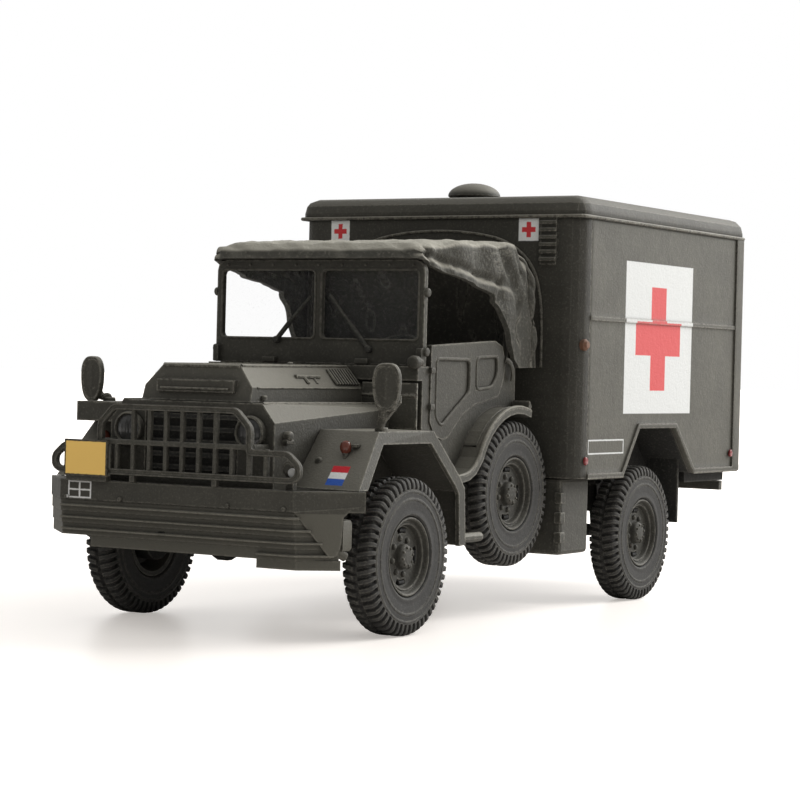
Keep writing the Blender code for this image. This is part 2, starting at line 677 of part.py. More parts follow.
def grille_guard():
    """The pressed guard in front of the radiator, an upper row of cells over a wider lower one."""
    chamfer = GUARD_HALF_MIDDLE - GUARD_HALF_TOP
    half = [(GUARD_HALF_TOP, GUARD_TOP), (GUARD_HALF_MIDDLE, GUARD_TOP - chamfer),
            (GUARD_HALF_MIDDLE, GUARD_MIDDLE), (GUARD_HALF_LOW - 0.93, GUARD_MIDDLE),
            (GUARD_HALF_LOW, GUARD_MIDDLE - 0.8), (GUARD_HALF_LOW, GUARD_LOW + GUARD_RIM),
            (GUARD_HALF_LOW - 0.53, GUARD_LOW)]
    outline = half + [(-x, z) for x, z in half[::-1]]
    # Low and high edge of the cells, and how many stand in the row
    upper = (GUARD_MIDDLE + GUARD_BAR, GUARD_TOP - GUARD_RIM)
    lower = (GUARD_LOW + GUARD_RIM, GUARD_MIDDLE - GUARD_BAR / 3)
    holes = []
    for (low, high), count in ((upper, 5), (lower, 11)):
        for index in range(count):
            middle = (index - (count - 1) / 2) * GUARD_PITCH
            reach = (GUARD_PITCH - GUARD_BAR) / 2
            holes.append(rounded_rectangle((middle - reach, middle + reach), (low, high), 0.25, 2))
    for sign in (1, -1):
        inner = 2.5 * GUARD_PITCH + GUARD_BAR / 2
        outer = GUARD_HALF_MIDDLE - GUARD_RIM
        holes.append([(sign * x, z) for x, z in (
            (inner, upper[0]), (outer, upper[0]), (outer, upper[1] - outer + GUARD_HALF_TOP),
            (GUARD_HALF_TOP, upper[1]), (inner, upper[1]))])
        inner = 5.5 * GUARD_PITCH + GUARD_BAR / 2
        outer = GUARD_HALF_LOW - GUARD_RIM
        holes.append([(sign * x, z) for x, z in (
            (inner, lower[0]), (outer - GUARD_RIM, lower[0]), (outer, lower[0] + 0.25),
            (outer, lower[1] - 0.85), (outer - 0.7, lower[1] - 0.25), (inner, lower[1] - 0.25))])
    back = GUARD_FRONT + GUARD_THICK
    pieces = [prism("y", [outline] + holes, GUARD_FRONT, back)]
    for sign in (1, -1):
        pieces.append(box((sign * (GUARD_HALF_MIDDLE - GUARD_BAR), sign * (GUARD_HALF_MIDDLE + GAP)),
                          (back - GUARD_THICK / 4, NOSE_FRONT - GAP), (GUARD_MIDDLE - RIB_LAP, upper[0])))
        pieces.append(box((sign * 2.35 * GUARD_PITCH, sign * 2.65 * GUARD_PITCH),
                          (GUARD_FRONT + RIB_LAP, back - RIB_LAP),
                          (BUMPER_TOP + GAP, GUARD_LOW + GUARD_RIM / 2)))
    part("grille_guard", "olive", fuse(*pieces, solver="MANIFOLD"))
    plate = box((-PLATE_OUT, PLATE_WIDE - PLATE_OUT), (PLATE_FRONT, PLATE_FRONT + PLATE_THICK),
                (PLATE_LOW, PLATE_LOW + PLATE_HIGH))
    part("number_plate", "plate_yellow", plate)


def nose():
    """The lower bonnet block between the wings, with its radiator and lamps."""
    half = [(NOSE_HALF, RAIL_TOP + GAP), (NOSE_HALF, NOSE_EDGE), (NOSE_SHOULDER, NOSE_TOP)]
    block = prism("y", [half + [(-x, z) for x, z in half[::-1]]], NOSE_FRONT, NOSE_REAR)
    for vert in block.data.vertices:
        if vert.co.y > 0 and abs(vert.co.z - NOSE_EDGE) < GAP:
            vert.co.z += NOSE_EDGE_RISE
    recess = box((-RADIATOR_HALF, RADIATOR_HALF), (NOSE_FRONT - 1.0, NOSE_FRONT + RADIATOR_DEEP),
                 (RADIATOR_LOW, RADIATOR_TOP))
    part("nose", "olive", cut(block, recess))
    back = NOSE_FRONT + RADIATOR_DEEP - GAP
    core = RADIATOR_HALF - RIB_LAP
    pieces = [box((-core, core), (back - MEMBER_INSET, back),
                  (RADIATOR_LOW + RIB_LAP, RADIATOR_TOP - RIB_LAP))]
    for index in range(5):
        z = RADIATOR_LOW + SLAT_HIGH + index * SLAT_PITCH
        pieces.append(box((GAP - core, core - GAP), (NOSE_FRONT + RIB_LAP, back - RIB_LAP),
                          (z, z + SLAT_HIGH)))
    part("radiator", "underside", fuse(*pieces))
    facing = Matrix.Rotation(math.pi / 2, 4, "Z")
    lamp_section = ((0.0, 0.0), (0.0, 1.0), (-0.35, 1.0), (-0.5, 0.75), (-0.6, 0.4), (-0.62, 0.0))
    pod_section = ((0.0, 0.0), (0.0, 0.9), (-0.9, 1.0), (-1.35, 0.55), (-1.45, 0.0))
    for side, sign in SIDES:
        lamp = turned([(a * LAMP_RADIUS, r * LAMP_RADIUS) for a, r in lamp_section], 18)
        moved(lamp, Matrix.Translation((sign * LAMP_X, NOSE_FRONT - GAP, LAMP_Z)) @ facing)
        part(f"headlamp_{side}", "lamp_glass", lamp)
        pod = turned([(a * MARKER_RADIUS, r * MARKER_RADIUS) for a, r in pod_section], 12)
        moved(pod, Matrix.Translation((sign * MARKER_X, MARKER_Y, MARKER_Z)) @ facing)
        foot = box((sign * (MARKER_X - 0.25), sign * (MARKER_X + 0.25)), (MARKER_Y - 0.5, MARKER_Y - 0.1),
                   (BUMPER_TOP + GAP, MARKER_Z - 0.3))
        part(f"marker_lamp_{side}", "olive", fuse(pod, foot))


def bonnet():
    """The upper bonnet: a trapezoid with sloping flanks and a ledge across its front."""
    low = NOSE_TOP + GAP
    half = [(BONNET_HALF, low), (BONNET_HALF - RIB_LAP, BONNET_EDGE), (BONNET_TOP_HALF, BONNET_TOP)]
    block = prism("y", [half + [(-x, z) for x, z in half[::-1]]], BONNET_FRONT, BONNET_REAR)
    tall = BONNET_TOP - low
    for vert in block.data.vertices:
        if vert.co.y < 0:
            vert.co.y += BONNET_LEAN * ((vert.co.z - low) / tall - 0.5)
        elif vert.co.z > BONNET_EDGE + GAP:
            vert.co.z += BONNET_RISE
    ledge = box((-BONNET_TOP_HALF, BONNET_TOP_HALF),
                (BONNET_FRONT - LEDGE_PROUD, BONNET_FRONT + BONNET_LEAN), (LEDGE_LOW, LEDGE_LOW + LEDGE_HIGH))
    part("bonnet", "olive_light", fuse(block, ledge))


def wing(side, sign):
    """A folded front wing: sloping front, flat top, sloping rear and splash plate."""
    inner_x, lip_x = NOSE_HALF + GAP, WING_OUT - WING_LIP_WIDE
    sheet = prism("x", [strip(WING_LINE, WING_SHEET)], sign * inner_x, sign * WING_OUT)
    lip = prism("x", [strip(WING_LINE, WING_LIP)], sign * lip_x, sign * WING_OUT)
    peg_x, (peg_y, peg_z) = lip_x - PEG_RADIUS, WING_LINE[-1]
    peg = rod((sign * peg_x, peg_y - WING_SHEET / 2, peg_z + PEG_RADIUS + RIB_LAP),
              (sign * peg_x, peg_y + PEG_LONG, peg_z + PEG_RADIUS + RIB_LAP), PEG_RADIUS, 10)
    bumper_room = box((sign * (NOSE_HALF - WING_LIP), sign * (WING_OUT + WING_LIP)),
                      (WING_LINE[0][0] - WING_LIP, WING_LINE[1][0] - WING_LIP / 2),
                      (BUMPER_TOP - BUMPER_BAND, BUMPER_TOP + GAP))
    body = cut(fuse(sheet, lip, peg), bumper_room)
    for vert in body.data.vertices:
        reach = (abs(vert.co.x) - inner_x) / (WING_OUT - inner_x)
        if vert.co.y < WING_LINE[1][0] / 2:
            drop = min(1.0, (WING_TOP - vert.co.z) / (WING_TOP - BUMPER_TOP))
            vert.co.y += WING_FLARE * (0.47 - reach)
            vert.co.x += sign * reach * drop * WING_SPREAD
    part(f"front_wing_{side}", "olive", body)


def wings():
    """The two front wings and the locker on the right one."""
    for side, sign in SIDES:
        wing(side, sign)
    # The flat locker on the right wing reaches forward past the wing's slope
    locker = box((-WING_OUT, -NOSE_HALF - GAP), (LOCKER_FRONT, LOCKER_REAR),
                 (WING_TOP + GAP, LOCKER_TOP))
    part("wing_locker", "olive", locker)


# Cab

def guard_line():
    """The (y, z) line of a side wheel guard's outer face, from its front flare to its rear."""
    flare = [(SPARE_Y + y, SPARE_Z + z) for y, z in GUARD_FLARE]
    return flare + arc((SPARE_Y, SPARE_Z), GUARD_RADIUS, *GUARD_ARC, 9)


def cab_body():
    """The open cab's tub: floor, firewall, scuttle, wheel housings, side sheets, posts and hoop."""
    floor_low, rear_wall = RAIL_TOP + GAP, CAB_REAR - CAB_WALL
    front_half = NOSE_HALF - RIB_LAP
    line = guard_line()
    sheet_low = line[0][1] + RIB_LAP
    wall_rear, wall_top = CAB_FRONT + CAB_WALL, SCUTTLE_LOW + CAB_WALL
    splash_y = WING_LINE[-1][0]
    # Half width, then the span along y and the span along z of each sheet that crosses the cab
    crossing = (
        (TUB_HALF, (splash_y + GUARD_SHEET, CAB_REAR), (floor_low, FLOOR_TOP)),
        (front_half, (CAB_FRONT, splash_y + WING_LIP), (floor_low, FLOOR_TOP)),
        (front_half, (CAB_FRONT, wall_rear), (floor_low, wall_top)),
        (CAB_HALF, (CAB_FRONT, wall_rear), (FIREWALL_LOW, wall_top)),
        (CAB_HALF, (BONNET_REAR + GAP, DOOR_LINE[0][0] - RIB_LAP), (SCUTTLE_LOW, SCUTTLE_TOP)),
        (CAB_HALF, (rear_wall, CAB_REAR), (SHELF_LOW, POST_TOP)),
        (TUB_HALF, (rear_wall, CAB_REAR), (WALL_LOW, SHELF_LOW + RIB_LAP)),
        (SEAT_BOX_HALF, (SEAT_BOX_FRONT, SEAT_BOX_REAR), (FLOOR_TOP - RIB_LAP, SEAT_BOX_TOP)),
        (CAB_HALF, (HOOP_Y, HOOP_Y + HOOP_THICK), (HOOP_TOP - HOOP_THICK, HOOP_TOP)),
    )
    pieces = [box((-half, half), y, z) for half, y, z in crossing]
    housing = arc((SPARE_Y, SPARE_Z), GUARD_RADIUS + GAP + CAB_WALL, 150, 68, 9)
    # All that the side wheel and its guard need free of the side sheet
    low = SPARE_Z - TYRE_RADIUS
    behind = CAB_REAR + CAB_WALL
    wheel_room = grown(line + [(behind, line[-1][1]), (behind, low), (line[0][0], low)], GAP)
    door = grown(DOOR_LINE, GAP)
    sheet_line = [(CAB_FRONT, FIREWALL_LOW), (DOOR_LINE[0][0] - RIB_LAP, FIREWALL_LOW),
                  (line[0][0] + GUARD_SHEET, sheet_low), (line[3][0] + GUARD_SHEET, sheet_low),
                  (CAB_REAR, SEAT_BOX_TOP), (CAB_REAR, POST_TOP), (DOOR_LINE[7][0], POST_TOP),
                  (DOOR_LINE[6][0], SCUTTLE_TOP), (CAB_FRONT, SCUTTLE_TOP)]
    wall_front, wall_back = CAB_FRONT + CAB_WALL / 2, CAB_REAR - CAB_WALL / 4
    wall_step = DOOR_LINE[1][0] + RIB_LAP
    wall_line = [(wall_front, FIREWALL_LOW + RIB_LAP), (wall_step, FIREWALL_LOW + RIB_LAP),
                 (wall_step, WALL_LOW), (wall_back, WALL_LOW),
                 (wall_back, SHELF_LOW + RIB_LAP), (wall_front, SHELF_LOW + RIB_LAP)]
    for _, sign in SIDES:
        wall = prism("x", [wall_line], sign * (TUB_HALF - CAB_WALL), sign * TUB_HALF)
        roof = prism("x", [strip(housing, CAB_WALL)],
                     sign * (TUB_HALF - CAB_WALL / 2), sign * (CAB_HALF - CAB_WALL / 2))
        sheet = prism("x", [sheet_line], sign * (CAB_HALF - CAB_WALL), sign * CAB_HALF)
        beyond = (sign * (CAB_HALF - 2 * CAB_WALL), sign * (CAB_HALF + 2 * CAB_WALL))
        sheet = cut(sheet, prism("x", [door], *beyond), prism("x", [wheel_room], *beyond))
        hoop = box((sign * (CAB_HALF - HOOP_THICK), sign * CAB_HALF), (HOOP_Y, HOOP_Y + HOOP_THICK),
                   (POST_TOP - HOOP_THICK, HOOP_TOP - RIB_LAP))
        pieces += [wall, roof, sheet, hoop]
    part("cab_body", "olive", fuse(*pieces, solver="MANIFOLD"))


def cab_fittings():
    """The dashboard, the steering wheel on its column and the two seats."""
    front = DOOR_LINE[0][0]
    dash = box((-DASH_HALF, DASH_HALF), (front, front + DASH_THICK), (DASH_LOW, SCUTTLE_TOP - DASH_DROP))
    part("dashboard", "olive", rounded(dash, 0.2))
    angles = [math.radians(60 * index) for index in range(6)]
    ring = [(STEERING_RIM * math.sin(a), STEERING_RADIUS + STEERING_RIM * math.cos(a)) for a in angles]
    rim = turned(ring, 20, "Z")
    arm = STEERING_RIM * 0.6
    spokes = [box((-STEERING_RADIUS, STEERING_RADIUS), (-arm, arm), (-arm, arm)),
              box((-arm, arm), (-STEERING_RADIUS, arm), (-arm, arm)),
              rod((0, 0, STEERING_RIM), (0, 0, -COLUMN_LONG), STALK_RADIUS, 8)]
    lean = Matrix.Rotation(math.radians(35), 4, "X")
    wheel = moved(fuse(rim, *spokes), Matrix.Translation((STEERING_X, STEERING_Y, STEERING_Z)) @ lean)
    part("steering_wheel", "underside", wheel)
    low = SEAT_BOX_TOP + GAP
    rear = SEAT_BOX_REAR - 2 * GAP
    for side, sign in SIDES:
        across = (sign * SEAT_IN, sign * SEAT_OUT)
        cushion = box(across, (SEAT_BOX_FRONT + GAP, rear), (low, low + CUSHION_THICK))
        back = box(across, (rear - SEAT_BACK, rear - GAP), (low + CUSHION_THICK / 2, SEAT_TOP))
        part(f"seat_{side}", "seat", rounded(fuse(cushion, back), SEAT_BACK / 3))


def doors():
    """Half doors with two pressed panels each."""
    for side, sign in SIDES:
        door = prism("x", [DOOR_LINE], sign * (DOOR_OUT - DOOR_THICK), sign * DOOR_OUT)
        cutters = [prism("x", [panel], sign * (DOOR_OUT - PANEL_DEEP), sign * (DOOR_OUT + DOOR_THICK))
                   for panel in DOOR_PANELS]
        part(f"door_{side}", "olive", cut(door, *cutters))


def windscreen():
    """The windscreen's frame with its two panes cut, and the glass behind them."""
    low = SCUTTLE_TOP + GAP
    middle_x, middle_z = SCREEN_HALF - SCREEN_CORNER, SCREEN_TOP - SCREEN_CORNER
    outline = ([(-SCREEN_HALF, low), (SCREEN_HALF, low)] + arc((middle_x, middle_z), SCREEN_CORNER, 0, 90, 4)
               + arc((-middle_x, middle_z), SCREEN_CORNER, 90, 180, 4))
    panes = [rounded_rectangle(across, (PANE_LOW, PANE_TOP), 0.3)
             for across in ((-PANE_OUT, -PANE_IN), (PANE_IN, PANE_OUT))]
    part("windscreen_frame", "olive", prism("y", [outline] + panes, SCREEN_Y, SCREEN_Y + SCREEN_THICK))
    back = SCREEN_Y + SCREEN_THICK + GAP
    reach = PANE_OUT + PANE_LAP
    part("windscreen_glass", "window",
         box((-reach, reach), (back, back + GLASS_THICK), (PANE_LOW - PANE_LAP, PANE_TOP + PANE_LAP)))


def hood_taper(sign, inset):
    """A cutter that narrows the hood, or with an inset its hollow, towards the windscreen."""
    near, far = HOOD_FRONT - HOOD_SHEET, HOOD_HALF + HOOD_SHEET
    line = [(HOOD_FRONT_HALF - inset, near), (HOOD_HALF - inset, HOOD_SPREAD_Y), (far, HOOD_SPREAD_Y),
            (far, near)]
    heights = [z for _, z in HOOD_LINE]
    low, high = min(heights) - HOOD_SHEET, max(heights) + HOOD_SHEET
    return prism("z", [[(sign * x, y) for x, y in line]], low, high)


def hood():
    """The canvas hood: roof, rear and hanging sides round the open door windows."""
    shell = cut(prism("x", [HOOD_LINE], -HOOD_HALF, HOOD_HALF), hood_taper(1, 0.0), hood_taper(-1, 0.0))
    front_edge = HOOD_LINE[-1][0]
    inside = list(HOOD_INSIDE) + [(front_edge, SCREEN_TOP + GAP), (HOOD_INSIDE[0][0], SCREEN_TOP + GAP)]
    half = HOOD_HALF - HOOD_SHEET
    hollow = cut(prism("x", [inside], -half, half), hood_taper(1, HOOD_SHEET), hood_taper(-1, HOOD_SHEET))
    part("canvas_hood", "canvas", cut(rounded(shell, 0.45, 2, 60), hollow))


def side_guards():
    """The guards over the side wheels, each curled up at its rear."""
    line = guard_line()
    tip_y, tip_z = line[-1]
    for side, sign in SIDES:
        band = prism("x", [strip(line, GUARD_SHEET)], sign * (TUB_HALF + GAP), sign * GUARD_OUT)
        curl = prism("x", [[(tip_y + y, tip_z + z) for y, z in GUARD_CURL]],
                     sign * (CAB_HALF + GAP * 3), sign * (GUARD_OUT - WHEEL_ROOM))
        part(f"side_wheel_guard_{side}", "olive_light", fuse(band, curl))


def mirrors():
    """Mirrors on bent stalks, the left one on its wing and the right one on the locker."""
    for side, sign in SIDES:
        shape = rounded_rectangle((-MIRROR_HALF, MIRROR_HALF), (-MIRROR_TALL, MIRROR_TALL), MIRROR_CORNER, 4)
        head = prism("y", [shape], -MIRROR_THICK / 2, MIRROR_THICK / 2)
        turn = Matrix.Rotation(math.radians(sign * MIRROR_TURN), 4, "Z")
        moved(head, Matrix.Translation((sign * MIRROR_X, MIRROR_Y, MIRROR_Z)) @ turn)
        foot = (WING_TOP if sign > 0 else LOCKER_TOP) + GAP
        foot_x, foot_y = WING_OUT - 2 * STALK_RADIUS, WING_LINE[1][0] + 3 * STALK_RADIUS
        stalk = rod((sign * foot_x, foot_y, foot + STALK_RADIUS),
                    (sign * (MIRROR_X - STALK_RADIUS), MIRROR_Y, MIRROR_Z - MIRROR_TALL / 2), STALK_RADIUS, 8)
        base = box((sign * (foot_x - STALK_RADIUS), sign * (foot_x + STALK_RADIUS)),
                   (foot_y - STALK_RADIUS, foot_y + STALK_RADIUS), (foot, foot + 2 * STALK_RADIUS))
        part(f"mirror_{side}", "olive", fuse(head, stalk, base))


# Ambulance box

def box_floor():
    """The floor with its wheel arches, bearers, mudflaps and sills."""
    wall_in = SIDE_IN - GAP
    arch_front, arch_rear = ARCH_LINE[0][0] - 0.1, ARCH_LINE[-1][0] + 0.1
    corner_in = BOX_HALF - BOX_CORNER - MEMBER_INSET
    half_plan = [(corner_in, BOX_FRONT + BOX_WALL + GAP), (corner_in, SIDE_FRONT), (wall_in, SIDE_FRONT),
                 (wall_in, arch_front), (ARCH_IN + 0.15, arch_front), (ARCH_IN + 0.15, arch_rear),
                 (wall_in, arch_rear), (wall_in, BOX_REAR + GAP), (BOX_HALF, BOX_REAR + GAP),
                 (BOX_HALF, BOX_REAR + REAR_DOOR)]
    plan = half_plan + [(-x, y) for x, y in half_plan[::-1]]
    pieces = [prism("z", [plan], BOX_LOW, BOX_LOW + BOX_FLOOR)]
    cover = [(y, z + GAP) for y, z in ARCH_LINE]
    lap = BOX_LOW + RIB_LAP
    for _, sign in SIDES:
        housing = prism("x", [strip(cover, -ARCH_COVER)], sign * ARCH_IN, sign * wall_in)
        cheek = prism("x", [grown(cover, ARCH_COVER / 2)], sign * (ARCH_IN + RIB_LAP), sign * (ARCH_IN + 0.3))
        flap = box((sign * FLAP_IN, sign * FLAP_OUT), (FLAP_Y, FLAP_Y + FLAP_THICK), (FLAP_LOW, FLAP_TOP))
        sill = box((sign * SILL_IN, sign * SILL_OUT), (SILL_FRONT, SILL_REAR), (SILL_LOW, lap))
        pieces += [housing, cheek, flap, sill]
    for y, half in BEARERS:
        pieces.append(box((-half, half), (y - BEARER_THICK / 2, y + BEARER_THICK / 2), (RAIL_TOP + GAP, lap)))
    part("box_floor", "underside", fuse(*pieces, solver="MANIFOLD"))


def box_walls():
    """Front wall with round corners, and the two sides with their arch lips, flanges and beads."""
    wall_top = ROOF_LOW - GAP
    centre_x, centre_y = BOX_HALF - BOX_CORNER, BOX_FRONT + BOX_CORNER
    left = [(BOX_HALF, SIDE_FRONT - GAP)] + arc((centre_x, centre_y), BOX_CORNER, 0, -90, 5)
    line = left + [(-x, y) for x, y in left[::-1]]
    front = prism("z", [strip(line[::-1], -BOX_WALL)], BOX_LOW, wall_top)
    louvre = box((LOUVRE_IN, LOUVRE_IN + LOUVRE_WIDE), (BOX_FRONT - LOUVRE_PROUD, BOX_FRONT + LOUVRE_PROUD),
                 (LOUVRE_LOW, wall_top - RIB_LAP))
    part("box_front", "olive", fuse(front, louvre))
    edge = [(SIDE_FRONT, BOX_LOW)] + list(ARCH_LINE) + [(BOX_REAR, BOX_LOW)]
    outline = edge + [(BOX_REAR, wall_top), (SIDE_FRONT, wall_top)]
    for side, sign in SIDES:
        proud = (sign * (BOX_HALF - ARCH_PROUD), sign * (BOX_HALF + ARCH_PROUD))
        pieces = [
            prism("x", [outline], sign * SIDE_IN, sign * BOX_HALF),
            prism("x", [strip(edge, -ARCH_LIP)], *proud),
            box(proud, (BOX_REAR - REAR_FLANGE, BOX_REAR), (BOX_LOW, wall_top)),
            box((proud[0], sign * (BOX_HALF + ARCH_PROUD * 2 / 3)),
                (SIDE_FRONT, BOX_REAR - REAR_FLANGE + RIB_LAP), (BEAD_LOW, BEAD_LOW + BEAD_HIGH)),
        ]
        part(f"box_side_{side}", "olive", fuse(*pieces))


def box_roof():
    """A shallow tray of a roof with round edges and its domed vent."""
    rear = BOX_REAR + REAR_DOOR + ROOF_OVER
    roof = box((-ROOF_HALF, ROOF_HALF), (BOX_FRONT - ROOF_OVER, rear), (ROOF_LOW - ROOF_ROUND, ROOF_TOP))
    beyond = ROOF_HALF + ROOF_ROUND
    below = box((-beyond, beyond), (BOX_FRONT - ROOF_ROUND, rear + ROOF_ROUND),
                (ROOF_LOW - 2 * ROOF_ROUND, ROOF_LOW))
    part("box_roof", "olive", cut(rounded(roof, ROOF_ROUND, 3), below))
    base = ROOF_TOP + GAP
    rim = base + VENT_RISE
    dome = [(rim + (VENT_TOP - rim) * math.cos(math.radians(a)), VENT_RADIUS * math.sin(math.radians(a)))
            for a in (90, 67, 45, 22, 0)]
    vent = turned([(base, 0.0), (base, VENT_NECK), (rim, VENT_NECK)] + dome[:-1] + [(VENT_TOP, 0.0)], 20, "Z")
    part("roof_vent", "olive", moved(vent, Matrix.Translation((0.0, VENT_Y, 0.0))))


def rear_doors():
    """The two rear doors, each with a window."""
    for side, sign in SIDES:
        door = box((sign * GAP, sign * (BOX_HALF - ARCH_PROUD)), (BOX_REAR + GAP, BOX_REAR + REAR_DOOR),
                   (BOX_LOW + BOX_FLOOR + GAP, ROOF_LOW - GAP))
        across = sorted((sign * REAR_PANE_IN, sign * REAR_PANE_OUT))
        hole = prism("y", [rounded_rectangle(across, (REAR_PANE_LOW, REAR_PANE_TOP), 0.5)],
                     BOX_REAR - REAR_DOOR, BOX_REAR + 2 * REAR_DOOR)
        part(f"rear_door_{side}", "olive", cut(door, hole))
        pane = box((sign * (REAR_PANE_IN - PANE_LAP), sign * (REAR_PANE_OUT + PANE_LAP)),
                   (BOX_REAR - GLASS_THICK, BOX_REAR),
                   (REAR_PANE_LOW - PANE_LAP, REAR_PANE_TOP + PANE_LAP))
        part(f"rear_window_{side}", "window", pane)


def underfloor():
    """The tanks under the front of the box and the rear crossbar with its tow hook."""
    for side, sign in SIDES:
        tank = box((sign * TANK_IN, sign * TANK_OUT), (TANK_FRONT, TANK_REAR), (TANK_LOW, BOX_LOW - GAP))
        part(f"side_tank_{side}", "olive", rounded(tank, TANK_ROUND))
    front = RAIL_REAR + GAP
    bar = box((-BAR_HALF, BAR_HALF), (front, front + BAR_THICK), (BAR_LOW, BAR_LOW + BAR_HIGH))
    hook_low = BAR_LOW + (BAR_HIGH - HOOK_HIGH) / 2
    hook = box((-HOOK_HALF, HOOK_HALF), (front + BAR_THICK / 2, HOOK_REAR), (hook_low, hook_low + HOOK_HIGH))
    part("rear_crossbar", "olive", fuse(bar, hook))


clear_scene()
MODEL = new_collection("field_ambulance_model")
WORKSHOP = new_collection("workshop")
MILLIMETRES = bpy.data.objects.new("millimetres", None)
bpy.context.scene.collection.objects.link(MILLIMETRES)
MILLIMETRES.scale = (0.001, 0.001, 0.001)
MILLIMETRES.location = (0.0, -MIDDLE_Y * 0.001, 0.0)

wheels()
chassis()
axle("front_axle", 0.0, FRONT_SPRING)
axle("rear_axle", WHEELBASE, REAR_SPRING)
powertrain()
bumper()
grille_guard()
nose()
bonnet()
wings()
cab_body()
cab_fittings()
doors()
windscreen()
hood()
side_guards()
mirrors()
box_floor()
box_walls()
box_roof()
rear_doors()
underfloor()
bpy.context.view_layer.update()
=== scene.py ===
"""Looks of an H0 scale model of a military field ambulance truck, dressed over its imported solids.

Places inside the functions are in millimetres of the model: x to the truck's left, y back from
the front axle, z up from the ground. They become metres of the shared frame when a piece is made.
A patch is an array of places followed by arrays of corner numbers, one for each size of face.
"""

import json
import math

import bmesh
import bpy
import numpy as np
from bpy.props import FloatProperty, FloatVectorProperty, IntProperty, PointerProperty
from bpy.types import Operator, Panel, PropertyGroup
from mathutils import Matrix, Vector


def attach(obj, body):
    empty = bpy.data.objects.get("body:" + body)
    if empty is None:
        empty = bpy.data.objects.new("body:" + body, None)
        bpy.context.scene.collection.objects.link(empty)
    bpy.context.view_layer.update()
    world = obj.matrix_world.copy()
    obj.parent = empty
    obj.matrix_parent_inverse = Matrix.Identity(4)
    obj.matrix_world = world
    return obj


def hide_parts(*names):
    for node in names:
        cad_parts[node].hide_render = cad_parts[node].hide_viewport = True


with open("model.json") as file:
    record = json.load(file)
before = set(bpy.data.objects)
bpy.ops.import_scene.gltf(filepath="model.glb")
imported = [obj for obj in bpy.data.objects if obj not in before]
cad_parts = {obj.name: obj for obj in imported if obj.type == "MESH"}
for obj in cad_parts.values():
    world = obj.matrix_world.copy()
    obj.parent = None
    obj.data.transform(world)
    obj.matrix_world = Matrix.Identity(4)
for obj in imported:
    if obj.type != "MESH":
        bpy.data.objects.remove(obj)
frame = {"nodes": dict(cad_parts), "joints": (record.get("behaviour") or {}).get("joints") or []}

bl_info = {
    "name": "Field Ambulance Model",
    "version": (1, 0, 0),
    "blender": (4, 5, 0),
    "location": "3D View > Sidebar > Ambulance",
    "description": "Paints and details a small scale model of a military field ambulance",
    "category": "Object",
}

# The shared frame
MM = 0.001
BODY = "truck"
SIDES = (("left", 1), ("right", -1))
WHEELS = (("front", "front_wheel"), ("rear", "rear_wheel"), ("spare", "side_wheel"))
JOINTS = {joint["name"]: Vector(joint["pos_m"]) for joint in frame["joints"]}
FRONT_AXLE_Y = JOINTS["front_wheel_left_turns"].y / MM
FINISHES = {}
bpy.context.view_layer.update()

# Sizes of the solids that the details follow
BOX_HALF = 11.8
BOX_FRONT = 21.45
BOX_REAR = 50.0
ROOF_LOW = 27.95
DOOR_OUT = 8.45
SCREEN_FRONT = 5.65
GUARD_FRONT = -10.5
NOSE_HALF = 6.25
BUMPER_FRONT = -10.3
BUMPER_CORNER = 8.86
BUMPER_END = (0.7204, 0.6935, 0.0)
SPARE_CENTRE = (16.15, 8.45)

# The row of slots in the bonnet's flank
SLOT_COUNT = 8
SLOT_START = 1.95
SLOT_STEP = 0.33

# Printed colours. The white on the brightly lit box sides is darker than the white of the small
# marks on the dimly lit fronts: painted shade and painted light.
PANEL_WHITE = (0.64, 0.65, 0.635)
PANEL_RED = (0.60, 0.085, 0.085)
SMALL_WHITE = (0.80, 0.80, 0.78)
SMALL_RED = (0.62, 0.045, 0.05)
STRIPE_INKS = ((0.72, 0.03, 0.045), (0.95, 0.95, 0.93), (0.04, 0.13, 0.55))
PLATE_YELLOW = (0.95, 0.62, 0.17)

# Camera, solved from the photograph
IMAGE_SIZE = 800
CAMERA_PLACE = (88.718, -132.042, 16.833)
CAMERA_YAW = math.radians(31.317)
CAMERA_PITCH = math.radians(-0.3514)
CAMERA_ROLL = math.radians(1.4303)
FOCAL_PIXELS = 2433.69
PICTURE_CENTRE = (378.88, 383.60)
SENSOR_WIDTH = 36.0

# Nodes painted with each finish; the other nodes of the truck are olive
NODE_FINISHES = {
    "underside": ("chassis_frame", "front_axle", "rear_axle", "engine_and_gearbox", "radiator",
                  "box_floor", "steering_wheel", "dashboard"),
    "seat_cloth": ("seat_left", "seat_right"),
    "window_glass": ("windscreen_glass", "rear_window_left", "rear_window_right"),
    "number_plate": ("number_plate",),
    # The box's sides take a lighter, lit copy of the olive: painted light.
    "box_left_paint": ("box_side_left",),
    "box_right_paint": ("box_side_right",),
    # The box's front takes a darker copy of the olive: painted shade.
    "shaded_box_front_paint": ("box_front",),
    "roof_paint": ("box_roof",),
    "wing_paint": ("front_wing_left",),
    "bumper_paint": ("front_bumper",),
    "guard_paint": ("grille_guard",),
    # The bonnet takes a lighter, lit copy of the olive: painted light.
    "olive_light": ("bonnet",),
}

# A tyre's outer side: place across it and radius, from the bead to the middle of the tread
TYRE_LINE = np.array((
    (0.90, 2.56), (0.99, 2.61), (1.05, 2.69), (1.06, 2.80), (1.03, 2.88), (1.05, 3.10), (1.08, 3.40),
    (1.08, 3.54), (1.125, 3.59), (1.125, 3.68), (1.085, 3.74), (1.085, 3.96), (1.08, 4.02), (1.125, 4.07),
    (1.125, 4.16), (1.09, 4.20), (1.09, 4.26), (1.10, 4.30), (1.10, 4.34), (1.09, 4.48), (1.06, 4.64),
    (1.00, 4.79), (0.93, 4.90), (0.84, 4.965), (0.72, 5.00), (0.58, 5.02), (0.44, 5.025), (0.30, 5.025),
    (0.18, 5.025), (0.06, 5.025)))
LUG_START = 4.28
STEPS_A_LUG = 10

